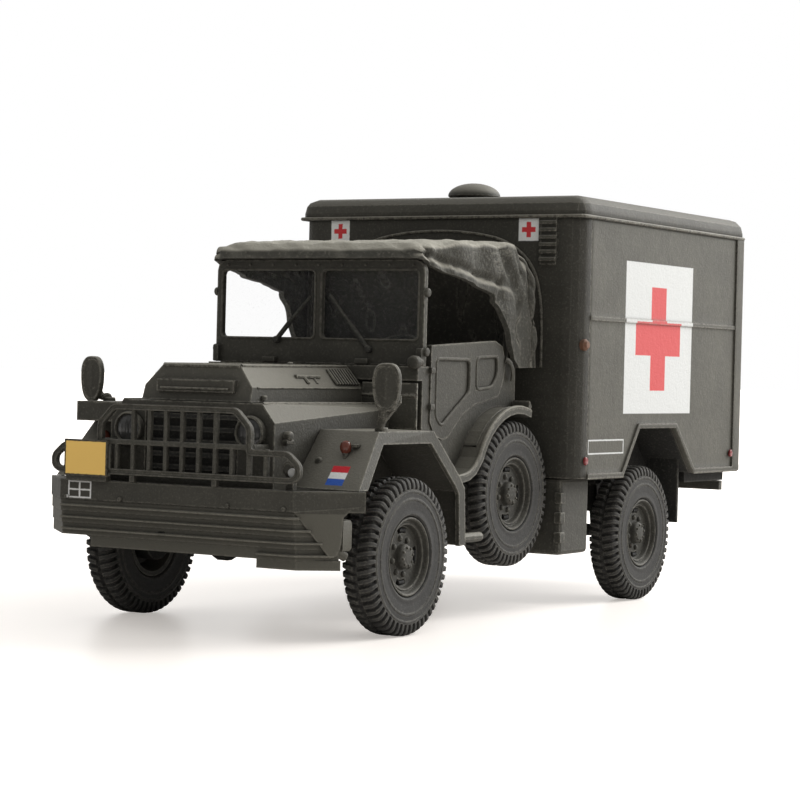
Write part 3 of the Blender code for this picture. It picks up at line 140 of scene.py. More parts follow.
# A rim from its hub cap out over the flange and back inside: place outwards, radius, share of slot
RIM_LINE = np.array((
    (0.88, 0.00, 0), (0.88, 0.46, 0), (0.84, 0.62, 0), (0.74, 0.74, 0), (0.60, 0.80, 0), (0.42, 0.82, 0),
    (0.37, 0.86, 0), (0.36, 0.95, 0), (0.36, 1.48, 0), (0.36, 1.51, 1), (0.36, 1.82, 1), (0.36, 1.85, 0),
    (0.38, 1.93, 0), (0.46, 1.97, 0), (0.62, 2.00, 0), (0.70, 2.04, 0), (0.72, 2.12, 0), (0.67, 2.18, 0),
    (0.69, 2.25, 0), (0.86, 2.31, 0), (0.95, 2.36, 0), (0.99, 2.42, 0), (0.97, 2.49, 0), (0.90, 2.52, 0),
    (-0.95, 2.52, 0), (-0.95, 2.19, 0), (0.14, 1.69, 0), (0.14, 0.00, 0)))

# The hood's (y, z) line over its top and down its rear, and the edge of its side below each point
HOOD_TOP = np.array((
    (5.05, 24.12), (5.12, 24.62), (5.75, 25.05), (7.6, 25.30), (12.0, 25.57), (16.6, 25.72), (18.1, 25.35),
    (19.2, 24.2), (20.1, 22.2), (20.5, 19.5), (20.65, 17.2)))
HOOD_EDGE = np.array((
    (5.12, 24.08), (5.4, 24.02), (6.4, 23.6), (8.4, 23.2), (11.2, 22.75), (14.0, 22.15), (14.9, 21.2),
    (15.7, 20.0), (16.5, 18.8), (17.3, 17.7), (17.9, 17.1)))

# Outlines of the left door's pressed panels, and the front end of the side wheel guard's lip, as (y, z)
DOOR_PANELS = (
    ((7.15, 13.7), (8.0, 13.1), (8.6, 13.5), (11.7, 15.4), (11.7, 17.6), (7.15, 17.6)),
    ((12.6, 15.55), (14.9, 15.75), (15.6, 16.6), (15.6, 17.9), (12.6, 17.75)))
GUARD_LINE = ((6.75, 9.78), (8.1, 9.8), (9.2, 9.95), (10.0, 10.3))


def spot(x, y, z):
    """Turn a place in model millimetres into metres of the shared frame."""
    return Vector((x * MM, (y + FRONT_AXLE_Y) * MM, z * MM))


# Patches

def grid(rows, columns, closed_rows=False, closed_columns=False):
    """Quads of a grid; a closed direction joins its last line to its first."""
    first = np.arange(rows if closed_rows else rows - 1)
    second = np.arange(columns if closed_columns else columns - 1)
    i, j = (part.ravel() for part in np.meshgrid(first, second, indexing="ij"))
    ahead, beside = (i + 1) % rows, (j + 1) % columns
    return np.stack([i * columns + j, ahead * columns + j, ahead * columns + beside, i * columns + beside], 1)


def arc(centre, radius, start, end, count):
    """Places on a circle: c + r (cos t, sin t), with t in degrees from start to end."""
    turn = np.radians(np.linspace(start, end, count))
    return np.array(centre) + radius * np.stack([np.cos(turn), np.sin(turn)], 1)


def rounded_line(points, passes=2):
    """An open line with its corners cut at a quarter and three quarters of each step."""
    line = np.asarray(points, float)
    for _ in range(passes):
        here, ahead = line[:-1], line[1:]
        cut = np.stack([0.75 * here + 0.25 * ahead, 0.25 * here + 0.75 * ahead], 1)
        line = np.concatenate([line[:1], cut.reshape(-1, line.shape[1]), line[-1:]])
    return line


def softened(outline, radius):
    """A closed line whose corner p is q(t) = (1-t)^2 a + 2t(1-t) p + t^2 b, a and b a radius away."""
    line = np.asarray(outline, float)
    ends = []
    for way in (1, -1):
        step = np.roll(line, way, 0) - line
        reach = np.minimum(radius, np.linalg.norm(step, axis=1, keepdims=True) * 0.45)
        ends.append((line + unit(step) * reach)[:, None])
    t = np.linspace(0, 1, 5)[None, :, None]
    bent = (1 - t) ** 2 * ends[0] + 2 * t * (1 - t) * line[:, None] + t ** 2 * ends[1]
    return bent.reshape(-1, line.shape[1])


def ramp(value, start, end):
    """The share of the way from start to end, kept between 0 and 1."""
    return np.clip((value - start) / (end - start), 0, 1)


def unit(vectors):
    """Vectors made one long."""
    return vectors / np.maximum(np.linalg.norm(vectors, axis=-1, keepdims=True), 1e-12)


def tube(path, radius, sides=8, closed=False, flat=1.0, power=1.0):
    """A bar along a path: P(i, t) = c_i + r (cos t N_i + k sin t B_i), with k for a flattened bar.

    A power below one takes the cosine and sine nearer to their signs, for a squarer bar.
    """
    path = np.asarray(path, float)
    if closed:
        along = unit(np.roll(path, -1, 0) - np.roll(path, 1, 0))
    else:
        along = unit(np.gradient(path, axis=0))
    reference = np.eye(3)[int(np.argmin(np.ptp(path, axis=0)))]
    across = unit(np.cross(along, reference))
    above = np.cross(along, across)
    turn = (np.arange(sides) + 0.5)[None, :, None] * 2 * math.pi / sides
    u, v = (np.sign(wave) * np.abs(wave) ** power for wave in (np.cos(turn), np.sin(turn)))
    points = path[:, None] + radius * (u * across[:, None] + flat * v * above[:, None])
    faces = grid(len(path), sides, closed_rows=closed, closed_columns=True)
    if closed:
        return points, faces
    last = np.arange(sides)[None] + (len(path) - 1) * sides
    return points, faces, np.arange(sides)[None, ::-1], last


def lathe(profile, centre, axis, sides, sign=1):
    """A turned piece: P(t, k) = c + s a_k A + r_k (cos t U + sin t V) for pairs (a_k, r_k)."""
    a, r = np.asarray(profile, float).T
    frame_axes = {"x": (0, 1, 2), "y": (1, 2, 0), "z": (2, 0, 1)}[axis]
    turn = np.linspace(0, 2 * math.pi, sides, endpoint=False)[:, None]
    points = np.empty((sides, len(a), 3))
    points[..., frame_axes[0]] = sign * a
    points[..., frame_axes[1]] = r * np.cos(turn)
    points[..., frame_axes[2]] = r * np.sin(turn)
    return points + np.asarray(centre, float), grid(sides, len(a), closed_rows=True)


def button(radius, height, dome=0.3):
    """The (a, r) profile of a round button that stands on its base and has a domed face."""
    turn = np.linspace(0, math.pi / 2, 4)
    face = np.stack([height - dome + dome * np.sin(turn), radius - dome * (1 - np.cos(turn))], 1)
    return np.concatenate([((0, 0), (0, radius)), face, ((height, 0),)])


def stud(radius, height, dome, centre, axis="x", sides=12, sign=1):
    """A round button with a domed face that stands on its centre, along an axis."""
    return lathe(button(radius, height, dome), centre, axis, sides, sign)


def shrunk(outline, distance):
    """An outline moved inwards: q = p - d m, with m the mitre of the two outward normals."""
    step = unit(np.roll(outline, -1, 0) - outline)
    normal = np.stack([step[:, 1], -step[:, 0]], 1)
    before = np.roll(normal, 1, 0)
    mitre = (normal + before) / np.maximum(1 + (normal * before).sum(1, keepdims=True), 0.2)
    return outline - distance * mitre


def slab(outline, low, high, axis, edge=0.05):
    """A plate with rounded edges: ring k is the outline moved in by e(1 - sin a_k) at its height.

    The outline holds (y, z) pairs for axis x, (x, z) pairs for y and (x, y) pairs for z.
    """
    outline = np.asarray(outline, float)
    ahead = np.roll(outline, -1, 0)
    if (outline[:, 0] * ahead[:, 1] - ahead[:, 0] * outline[:, 1]).sum() < 0:
        outline = outline[::-1]
    low, high = min(low, high), max(low, high)
    turn = np.linspace(0, math.pi / 2, 3)
    insets = edge * (1 - np.sin(turn))
    heights = edge * (1 - np.cos(turn))
    insets = np.concatenate([insets, insets[::-1]])
    heights = np.concatenate([low + heights, (high - heights)[::-1]])
    rings = np.stack([shrunk(outline, inset) for inset in insets])
    level = np.broadcast_to(heights[:, None, None], (*rings.shape[:2], 1))
    order = {"x": (2, 0, 1), "y": (0, 2, 1), "z": (0, 1, 2)}[axis]
    points = np.concatenate([rings, level], 2)[..., order]
    count = len(outline)
    last = np.arange(count)[None] + (len(rings) - 1) * count
    return points, grid(len(rings), count, closed_columns=True), np.arange(count)[None, ::-1], last


def rectangle(u0, u1, v0, v1, corner=0.0):
    """The outline of a rectangle, its corners cut round by a radius."""
    if not corner:
        return np.array(((u0, v0), (u1, v0), (u1, v1), (u0, v1)), float)
    u0, u1, v0, v1 = min(u0, u1), max(u0, u1), min(v0, v1), max(v0, v1)
    corners = ((u1 - corner, v1 - corner, 0), (u0 + corner, v1 - corner, 90),
               (u0 + corner, v0 + corner, 180), (u1 - corner, v0 + corner, 270))
    return np.concatenate([arc((u, v), corner, start, start + 90, 5) for u, v, start in corners])


def block(x, y, z, edge=0.05):
    """A cuboid between two places on each axis, with rounded edges."""
    return slab(rectangle(*x, *y), *z, "z", edge)


def moved(patch, matrix):
    """A patch with its places put through a 4 x 4 matrix."""
    points, *faces = patch
    matrix = np.array(matrix)
    return points @ matrix[:3, :3].T + matrix[:3, 3], *faces


def at_height(line, axis, level):
    """A flat line of pairs made a line of places at one level of an axis."""
    line = np.asarray(line, float)
    return np.insert(line, {"x": 0, "y": 1, "z": 2}[axis], level, axis=1)


# Pieces

def mesh_from_patches(name, patches):
    """Join patches into one mesh of closed surfaces with its faces pointing out."""
    places, corners, totals, shift = [], [], [], 0
    for points, *face_sets in patches:
        points = np.asarray(points, float).reshape(-1, 3)
        for faces in face_sets:
            faces = np.asarray(faces, int)
            corners.append(faces.ravel() + shift)
            totals.append(np.full(len(faces), faces.shape[1]))
        places.append(points)
        shift += len(points)
    places = (np.concatenate(places) + (0.0, FRONT_AXLE_Y, 0.0)) * MM
    corners, totals = np.concatenate(corners), np.concatenate(totals)
    mesh = bpy.data.meshes.new(name)
    mesh.vertices.add(len(places))
    mesh.vertices.foreach_set("co", places.ravel())
    mesh.loops.add(len(corners))
    mesh.loops.foreach_set("vertex_index", corners)
    mesh.polygons.add(len(totals))
    mesh.polygons.foreach_set("loop_start", np.concatenate([[0], np.cumsum(totals)[:-1]]))
    mesh.update(calc_edges=True)
    mesh.validate()
    tidy = bmesh.new()
    tidy.from_mesh(mesh)
    bmesh.ops.remove_doubles(tidy, verts=tidy.verts, dist=1e-7)
    bmesh.ops.recalc_face_normals(tidy, faces=tidy.faces)
    tidy.to_mesh(mesh)
    tidy.free()
    return mesh


def new_object(name, data):
    """An object of the scene that shows the data given."""
    made = bpy.data.objects.new(name, data)
    bpy.context.scene.collection.objects.link(made)
    return made


def make_piece(name, patches, finish, body=BODY, replaces=(), sharp=35.0):
    """Make a finished piece from patches, paint it and let it ride on a body."""
    mesh = mesh_from_patches(name, patches)
    mesh.shade_smooth()
    mesh.set_sharp_from_angle(angle=math.radians(sharp))
    mesh.materials.append(FINISHES[finish])
    piece = new_object(name, mesh)
    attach(piece, body)
    if replaces:
        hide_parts(*replaces)


def mirrored(patches):
    """The mirror images of patches on the other side."""
    return [(points * (-1, 1, 1), *faces) for points, *faces in patches]


def both_sides(patches):
    """Patches of the left side with their mirror images on the right."""
    return patches + mirrored(patches)


# Shader building

def add_node(tree, kind, settings=None, **inputs):
    """Add a node, set its options, and give inputs a value or a link by name or by _number."""
    made = tree.nodes.new(kind)
    for option, value in (settings or {}).items():
        setattr(made, option, value)
    for name, value in inputs.items():
        socket = made.inputs[int(name[1:])] if name[1:].isdigit() else made.inputs[name.replace("_", " ")]
        if isinstance(value, bpy.types.NodeSocket):
            tree.links.new(value, socket)
        else:
            socket.default_value = value
    return made


def calculate(tree, operation, *values):
    """A Math node over values or sockets; returns its result."""
    inputs = {f"_{index}": value for index, value in enumerate(values)}
    return add_node(tree, "ShaderNodeMath", {"operation": operation}, **inputs).outputs[0]


def mix_colours(tree, factor, first, second):
    """A colour mix; returns its result."""
    return add_node(tree, "ShaderNodeMix", {"data_type": "RGBA"}, _0=factor, _6=first, _7=second).outputs[2]


def mapped(tree, value, low, high, start, end, kind="LINEAR"):
    """A value whose range from low to high becomes the range from start to end."""
    return add_node(tree, "ShaderNodeMapRange", {"interpolation_type": kind}, _0=value, _1=low, _2=high,
                    _3=start, _4=end).outputs[0]


def spread(tree, value, low, high):
    """A smooth step from 0 at low to 1 at high."""
    return mapped(tree, value, low, high, 0.0, 1.0, "SMOOTHSTEP")


def noise(tree, place, scale, detail=3.0):
    """Noise over a place; scale counts features in a metre."""
    return add_node(tree, "ShaderNodeTexNoise", None, Vector=place, Scale=scale, Detail=detail,
                    Roughness=0.55).outputs["Fac"]


def rgba(colour):
    """A colour with full cover."""
    return (*colour, 1.0)


def tone(colour, share):
    """A colour made lighter or darker by a share."""
    return [part * share for part in colour]


def new_group(name, inputs, outputs):
    """An empty shader group; returns it, what it is given and what it results in, by label."""
    group = bpy.data.node_groups.new(name, "ShaderNodeTree")
    for way, sockets in (("INPUT", inputs), ("OUTPUT", outputs)):
        for label, kind in sockets.items():
            group.interface.new_socket(label, in_out=way, socket_type=f"NodeSocket{kind}")
    return group, group.nodes.new("NodeGroupInput").outputs, group.nodes.new("NodeGroupOutput").inputs


def grain_group():
    """The coarse grain of matt paint on cast resin, as a normal and as a fleck mask."""
    given_kinds = {"Place": "Vector", "Scale": "Float", "Height": "Float", "Radius": "Float"}
    group, given, result = new_group("cast_grain", given_kinds, {"Normal": "Vector", "Fleck": "Float"})
    soft = add_node(group, "ShaderNodeBevel", {"samples": 3}, Radius=given["Radius"]).outputs["Normal"]
    fine = noise(group, given["Place"], given["Scale"])
    broad = noise(group, given["Place"], calculate(group, "MULTIPLY", given["Scale"], 0.22), 2.0)
    height = calculate(group, "MULTIPLY_ADD", broad, 0.8, fine)
    bump = add_node(group, "ShaderNodeBump", None, Strength=0.85, Distance=given["Height"],
                    Height=height, Normal=soft)
    group.links.new(bump.outputs["Normal"], result["Normal"])
    group.links.new(spread(group, fine, 0.52, 0.72), result["Fleck"])


def wear_and_light_group():
    """Dry-brushed edges, dust and painted light on tops, and painted shade in corners, each as a mask."""
    group, given, result = new_group("model_wear_and_light", {"Place": "Vector"},
                                     {"Edge": "Float", "Top": "Float", "Painted_Shade": "Float"})
    edge_width, corner_reach, hollow_reach = 0.0002, 0.0005, 0.0016
    surface = add_node(group, "ShaderNodeNewGeometry").outputs
    soft = add_node(group, "ShaderNodeBevel", {"samples": 3}, Radius=edge_width).outputs["Normal"]
    meeting = add_node(group, "ShaderNodeVectorMath", {"operation": "DOT_PRODUCT"},
                       _0=soft, _1=surface["True Normal"]).outputs["Value"]
    edge = spread(group, calculate(group, "SUBTRACT", 1.0, meeting), 0.03, 0.16)
    near = add_node(group, "ShaderNodeAmbientOcclusion", {"samples": 2, "only_local": True},
                    Distance=corner_reach).outputs["AO"]
    wide = add_node(group, "ShaderNodeAmbientOcclusion", {"samples": 2}, Distance=hollow_reach).outputs["AO"]
    broken = spread(group, noise(group, given["Place"], 3600.0), 0.3, 0.6)
    convex = calculate(group, "MULTIPLY", edge, spread(group, near, 0.62, 0.9))
    upward = add_node(group, "ShaderNodeSeparateXYZ", None, Vector=surface["Normal"]).outputs["Z"]
    group.links.new(calculate(group, "MULTIPLY", convex, broken), result["Edge"])
    # Tops: real dust together with painted top light, stronger the more a face turns up.
    group.links.new(spread(group, upward, 0.08, 0.8), result["Top"])
    # Painted shade: one where the wide ambient occlusion finds corners, hollows and gaps between parts.
    group.links.new(calculate(group, "SUBTRACT", 1.0, spread(group, wide, 0.25, 0.85)), result["Painted_Shade"])


def band_group():
    """A mask that is one in a band of a coordinate; its edge wanders a little like printed paint."""
    given_kinds = {"Place": "Vector", "Along": "Float", "Middle": "Float", "Half": "Float"}
    group, given, result = new_group("printed_band", given_kinds, {"Mask": "Float"})
    blur = 0.00003
    waves = noise(group, given["Place"], 5000.0, 2.0)
    wander = calculate(group, "MULTIPLY_ADD", waves, 2 * blur, -blur)
    away = calculate(group, "ABSOLUTE", calculate(group, "SUBTRACT", given["Along"], given["Middle"]))
    inside = calculate(group, "SUBTRACT", given["Half"], calculate(group, "ADD", away, wander))
    group.links.new(spread(group, inside, -blur, blur), result["Mask"])


def new_material(name):
    """A new finish; returns its tree, its Principled shader and the object coordinates."""
    material = bpy.data.materials.new(name)
    material.use_nodes = True
    FINISHES[name] = material
    tree = material.node_tree
    place = tree.nodes.new("ShaderNodeTexCoord").outputs["Object"]
    return tree, tree.nodes["Principled BSDF"], place


def use_group(tree, name, **inputs):
    """A shared shader group with its inputs set; returns its outputs."""
    made = tree.nodes.new("ShaderNodeGroup")
    made.node_tree = bpy.data.node_groups[name]
    for label, value in inputs.items():
        if isinstance(value, bpy.types.NodeSocket):
            tree.links.new(value, made.inputs[label])
        else:
            made.inputs[label].default_value = value
    return made.outputs


def printed_mask(tree, place, spans):
    """A mask over the ranges given for one, two or three of the axes, in model millimetres."""
    where = add_node(tree, "ShaderNodeSeparateXYZ", None, Vector=place).outputs
    mask = 1.0
    for axis, (low, high) in spans.items():
        shift = FRONT_AXLE_Y if axis == "Y" else 0.0
        band = use_group(tree, "printed_band", Place=place, Along=where[axis],
                         Middle=((low + high) / 2 + shift) * MM, Half=(high - low) / 2 * MM)
        mask = calculate(tree, "MULTIPLY", mask, band["Mask"])
    return mask


def paint(name, colour, wear_and_top_light, roughness=0.6, grain=0.00004, scale=7000.0, hollow_shade=0.6, dust_and_top_light=0.45,
          edges=0.9, flecked=0.1, soft=0.00006, markings=()):
    """Matt paint with grain, lighter edges, dust and painted light on tops, painted shade in corners
    and printed rectangles on it.

    A marking is its colour and its (low, high) ranges of model millimetres by axis. Each layer is a
    mask, the share of it that shows and a colour; later layers lie over earlier ones.
    """
    tree, shader, place = new_material(name)
    grains = use_group(tree, "cast_grain", Place=place, Scale=scale, Height=grain, Radius=soft)
    wear_and_light = use_group(tree, "model_wear_and_light", Place=place)
    broad = spread(tree, noise(tree, place, 260.0, 4.0), 0.3, 0.7)
    mottled = spread(tree, noise(tree, place, 2400.0), 0.35, 0.65)
    # Tops get dust and painted top light in the wear colour; the last layer is painted shade, a darker copy
    # of the paint, in corners.
    layers = [(mottled, 0.32, tone(colour, 0.7)), (grains["Fleck"], flecked, wear_and_top_light), (wear_and_light["Top"], dust_and_top_light, wear_and_top_light)]
    layers += [(printed_mask(tree, place, spans), 1.0, ink) for ink, spans in markings]
    layers += [(wear_and_light["Edge"], edges, wear_and_top_light), (wear_and_light["Painted_Shade"], hollow_shade, tone(colour, 0.3))]
    base = mix_colours(tree, broad, rgba(tone(colour, 0.86)), rgba(tone(colour, 1.12)))
    for mask, share, ink in layers:
        base = mix_colours(tree, calculate(tree, "MULTIPLY", mask, share), base, rgba(ink))
    tree.links.new(base, shader.inputs["Base Color"])
    tree.links.new(grains["Normal"], shader.inputs["Normal"])
    shader.inputs["Roughness"].default_value = roughness
    shader.inputs["Specular IOR Level"].default_value = 0.25


def clear_glass(name, colour, alpha):
    """Thin clear plastic: mostly see-through, with a sharp sheen and a trace of dust."""
    tree, shader, place = new_material(name)
    speck = spread(tree, noise(tree, place, 9000.0, 4.0), 0.62, 0.74)
    cover = calculate(tree, "MULTIPLY_ADD", speck, 0.12, alpha)
    tree.links.new(cover, shader.inputs["Alpha"])
    shader.inputs["Base Color"].default_value = rgba(colour)
    shader.inputs["Roughness"].default_value = 0.08


def lens(name, colour, roughness=0.18):
    """A glossy moulded lens with fine ribs pressed in it."""
    tree, shader, place = new_material(name)
    ribs = add_node(tree, "ShaderNodeTexWave", {"bands_direction": "X"}, Vector=place, Scale=900.0,
                    Distortion=0.5).outputs["Fac"]
    bump = add_node(tree, "ShaderNodeBump", None, Strength=0.5, Distance=0.00003, Height=ribs)
    tree.links.new(bump.outputs["Normal"], shader.inputs["Normal"])
    tint = mix_colours(tree, noise(tree, place, 2500.0), rgba(tone(colour, 0.7)), rgba(colour))
    tree.links.new(tint, shader.inputs["Base Color"])
    shader.inputs["Roughness"].default_value = roughness


def cross(ink, axis, middle, height, tall, wide, upright, bar, **limits):
    """Two printed rectangles that make a cross: its middle, its height, both lengths and both widths."""
    marks = []
    for across, up in ((upright, tall), (wide, bar)):
        spans = {axis: (middle - across / 2, middle + across / 2), "Z": (height - up / 2, height + up / 2)}
        marks.append((ink, {**spans, **limits}))
    return marks


# Add-on: properties

def colour_setting(name, description, default):
    """A colour that the panel shows."""
    return FloatVectorProperty(name=name, description=description, subtype="COLOR", default=default,
                               min=0.0, max=1.0)


class PaintSettings(PropertyGroup):
    """Colours of the painted finishes."""
    olive: colour_setting("Olive", "Colour of the body paint", (0.060, 0.0572, 0.0465))
    # The worn colour also serves as painted light on tops.
    wear_and_top_light: colour_setting("Worn", "Colour of dry-brushed edges and dust", (0.36, 0.342, 0.285))
    canvas: colour_setting("Canvas", "Colour of the cast hood", (0.070, 0.068, 0.057))
    rubber: colour_setting("Rubber", "Colour of the tyres", (0.042, 0.041, 0.0385))
    underside: colour_setting("Underside", "Colour below the body", (0.030, 0.0295, 0.027))


class WheelSettings(PropertyGroup):
    """Form of the tyres and rims."""
    lugs: IntProperty(name="Lugs", description="Tread lugs round a tyre", default=54, min=12, max=60)
    lug_depth: FloatProperty(name="Lug Depth", description="Depth of the tread in millimetres",
                             default=0.21, min=0.0, max=0.5)
    nuts: IntProperty(name="Nuts", description="Nuts round a hub", default=8, min=3, max=12)


class HoodSettings(PropertyGroup):
    """Form of the wrinkled hood."""
    wrinkle: FloatProperty(name="Wrinkle", description="Depth of the hood's folds in millimetres",
                           default=0.6, min=0.0, max=1.0)
    sheet: FloatProperty(name="Sheet", description="Thickness of the hood in millimetres",
                         default=0.45, min=0.1, max=1.0)


class StageSettings(PropertyGroup):
    """Light round the model."""
    key: FloatProperty(name="Key", description="Power of the large soft light", default=1.3, min=0.0,
                       subtype="POWER", unit="POWER")
    fill: FloatProperty(name="Fill", description="Strength of the light from all round", default=0.55,
                        min=0.0)


# Add-on: the paint

def side_marks(sign, inner):
    """The white panel with its cross and the outlined bar, printed on a side of the box."""
    outside = {"X": sorted((sign * (BOX_HALF - 0.2), sign * (BOX_HALF + 0.4)))}
    return [(PANEL_WHITE, {"Y": (28.7, 40.5), "Z": (14.0, 25.15), **outside}),
            *cross(PANEL_RED, "Y", 34.45, 19.55, 7.7, 7.85, 2.6, 2.5, **outside),
            (PANEL_WHITE, {"Y": (23.1, 28.9), "Z": (11.1, 12.15), **outside}),
            (inner, {"Y": (23.2, 28.8), "Z": (11.2, 12.05), **outside})]


def front_marks():
    """The small white squares with a cross, printed high on the box's front."""
    outside = {"Y": (BOX_FRONT - 0.3, BOX_FRONT + 0.2)}
    marks = []
    for x in (-8.35, 7.5):
        marks.append((SMALL_WHITE, {"X": (x - 0.8, x + 0.8), "Z": (26.2, 27.8), **outside}))
        marks += cross(SMALL_RED, "X", x, 27.0, 1.1, 1.1, 0.36, 0.36, **outside)
    return marks


def stripe_marks():
    """The three level stripes on the left wing's front."""
    return [(ink, {"X": (8.75, 10.1), "Y": (-9.0, -4.0), "Z": (low, low + 0.38)})
            for ink, low in zip(STRIPE_INKS, (10.42, 10.04, 9.66))]


def bumper_marks(olive):
    """The bumper's lower part, lighter with dust and painted light from above, and the white square
    in four fields at its right end.
    """
    outside = {"Y": (BUMPER_FRONT - 0.6, BUMPER_FRONT + 0.3)}
    fields = [(olive, {"X": across, "Z": up, **outside})
              for across in ((-8.12, -7.38), (-7.25, -6.49)) for up in ((8.28, 8.68), (8.78, 9.19))]
    # The lower part is a lighter copy of the olive: dust, and painted light from above.
    return [(tone(olive, 1.7), {"Z": (3.0, 8.02)}),
            (SMALL_WHITE, {"X": (-8.22, -6.39), "Z": (8.19, 9.28), **outside}), *fields]


class AMBULANCE_OT_paint(Operator):
    """Make the materials and give one to each solid of the model"""
    bl_idname = "ambulance.paint"
    bl_label = "Paint the Solids"

    def execute(self, context):
        """Build every finish from the chosen colours, then assign them by node name."""
        colours = context.scene.ambulance_paint
        olive, wear_and_top_light = list(colours.olive), list(colours.wear_and_top_light)
        grain_group()
        wear_and_light_group()
        band_group()
        paint("olive", olive, wear_and_top_light)
        # A lighter copy of the olive for the bonnet, its parts, the guard lips and the roof bead: painted
        # light.
        paint("olive_light", tone(olive, 1.15), wear_and_top_light, dust_and_top_light=0.5, edges=1.0)
        paint("guard_paint", olive, wear_and_top_light, dust_and_top_light=0.15, edges=0.35)
        # The ribs take a lighter copy of the olive: dust, and painted light that they catch from above.
        paint("dusty_lit_rib_paint", tone(olive, 2.4), wear_and_top_light, dust_and_top_light=0.3, edges=0.5)
        paint("canvas", colours.canvas, wear_and_top_light, roughness=0.7, grain=0.00012, scale=4500.0, dust_and_top_light=1.0,
              edges=0.3, flecked=0.2)
        paint("rubber", colours.rubber, tone(wear_and_top_light, 0.8), roughness=0.7, grain=0.00002, scale=9000.0,
              dust_and_top_light=0.0, edges=0.55, hollow_shade=0.75)
        paint("rim_paint", tone(olive, 0.8), wear_and_top_light, dust_and_top_light=0.1, edges=0.5, hollow_shade=0.8)
        paint("underside", colours.underside, wear_and_top_light, roughness=0.85, dust_and_top_light=0.1, edges=0.3)
        paint("seat_cloth", (0.035, 0.033, 0.027), wear_and_top_light, roughness=0.9, dust_and_top_light=0.1, edges=0.2)
        # Near-black for pieces that stand for the shade in slots and holes: painted shade.
        paint("painted_shade_black", (0.008, 0.008, 0.008), wear_and_top_light, roughness=0.7, dust_and_top_light=0.0, edges=0.1)
        paint("rust", (0.16, 0.075, 0.045), wear_and_top_light, dust_and_top_light=0.1, edges=0.2)
        # The box's sides take a lighter copy of the olive, which the bar's inner fill shares: painted light.
        lit_side_olive = tone(olive, 1.5)
        for side, sign in SIDES:
            paint(f"box_{side}_paint", lit_side_olive, wear_and_top_light, dust_and_top_light=0.3, soft=0.0006,
                  markings=side_marks(sign, lit_side_olive))
        paint("roof_paint", olive, wear_and_top_light, dust_and_top_light=0.25, soft=0.0007)
        # The box's front takes a darker copy of the olive: painted shade.
        paint("shaded_box_front_paint", tone(olive, 0.8), wear_and_top_light, soft=0.0006, markings=front_marks())
        paint("wing_paint", olive, wear_and_top_light, markings=stripe_marks())
        paint("bumper_paint", olive, wear_and_top_light, dust_and_top_light=0.25, edges=0.4, markings=bumper_marks(olive))
        paint("number_plate", (0.03, 0.03, 0.03), (0.5, 0.45, 0.3), grain=0.000008, dust_and_top_light=0.0, edges=0.3,
              hollow_shade=0.2, markings=[(PLATE_YELLOW, {"X": (-8.15, -5.0), "Z": (9.74, 11.80)})])
        clear_glass("window_glass", (0.75, 0.76, 0.75), 0.02)
        lens("lamp_glass", (0.07, 0.07, 0.068), 0.08)
        lens("small_lens", (0.55, 0.55, 0.53))
        lens("brown_lens", (0.16, 0.045, 0.028))
        lens("red_lens", (0.22, 0.02, 0.02))
        finishes = {name: finish for finish, names in NODE_FINISHES.items() for name in names}
        for name, node in frame["nodes"].items():
            node.data.materials.clear()
            node.data.materials.append(FINISHES[finishes.get(name, "olive")])
        return {"FINISHED"}


# Add-on: the wheels

def tyre_patch(centre, sign, lugs, depth):
    """A tyre with shoulder lugs: P(t, s) = c + (a_s - d g n_a) X + (r_s - d g n_r) (cos t, sin t).

    g(t, s) is one in the grooves between lugs and zero on them. Lugs are bars across each half of
    the tread, half a step apart, that lean with the distance from the middle.
    """
    section = np.concatenate([TYRE_LINE, TYRE_LINE[::-1] * (-1, 1)])
    across, radius = section.T
    normal = np.abs(unit(np.gradient(section, axis=0))[:, ::-1])
    steps = lugs * STEPS_A_LUG
    phase = np.arange(steps)[:, None] / STEPS_A_LUG
    lean = 0.35 * np.abs(across) + np.where(across > 0, 0.0, 0.5)
    offset = np.abs((phase + lean) % 1.0 - 0.5)
    groove = ramp(offset, 0.26, 0.34) * (radius > LUG_START)
    groove = np.maximum(groove, np.abs(across) < 0.1)
    a = across - depth * groove * normal[:, 0] * np.sign(across)
    r = radius - depth * groove * normal[:, 1]
    turn = np.linspace(0, 2 * math.pi, steps, endpoint=False)[:, None]
    points = np.stack([sign * a, r * np.cos(turn), r * np.sin(turn)], 2) + centre
    return points, grid(steps, len(section), closed_rows=True, closed_columns=True)


def rim_patches(centre, sign, nuts):
    """A dished rim: P(t, k) = c + s (a_k - 0.16 m(t) q_k) X + r_k (cos t, sin t), with its nuts.

    m(t) is one over four short arcs and q_k one on the ring of the slots.
    """
    a, r, slotted = RIM_LINE.T
    steps = 96
    turn = np.linspace(0, 2 * math.pi, steps, endpoint=False)[:, None]
    slots = np.abs((turn / (math.pi / 2) + 0.5) % 1.0 - 0.5) < 0.17
    outward = a - 0.16 * slots * slotted
    points = np.stack([sign * outward, r * np.cos(turn), r * np.sin(turn)], 2) + centre
    patches = [(points, grid(steps, len(a), closed_rows=True))]
    for index in range(nuts):
        angle = 2 * math.pi * (index + 0.25) / nuts
        spoke = np.array((0, math.cos(angle), math.sin(angle)))
        patches.append(stud(0.2, 0.55, 0.15, np.array(centre) + 1.16 * spoke, "x", 10, sign))
        patches.append(stud(0.09, 0.95, 0.05, np.array(centre) + 0.58 * spoke, "x", 6, sign))
    return patches


def slot_shadows(centre, sign):
    """Painted shade in the bottoms of a rim's slots: four dark tubes along arcs of the ring of the slots."""
    x = centre[0] + sign * 0.34
    arcs = [arc(centre[1:], 1.67, middle - 12, middle + 12, 6) for middle in range(0, 360, 90)]
    return [tube(at_height(bend, "x", x), 0.13) for bend in arcs]


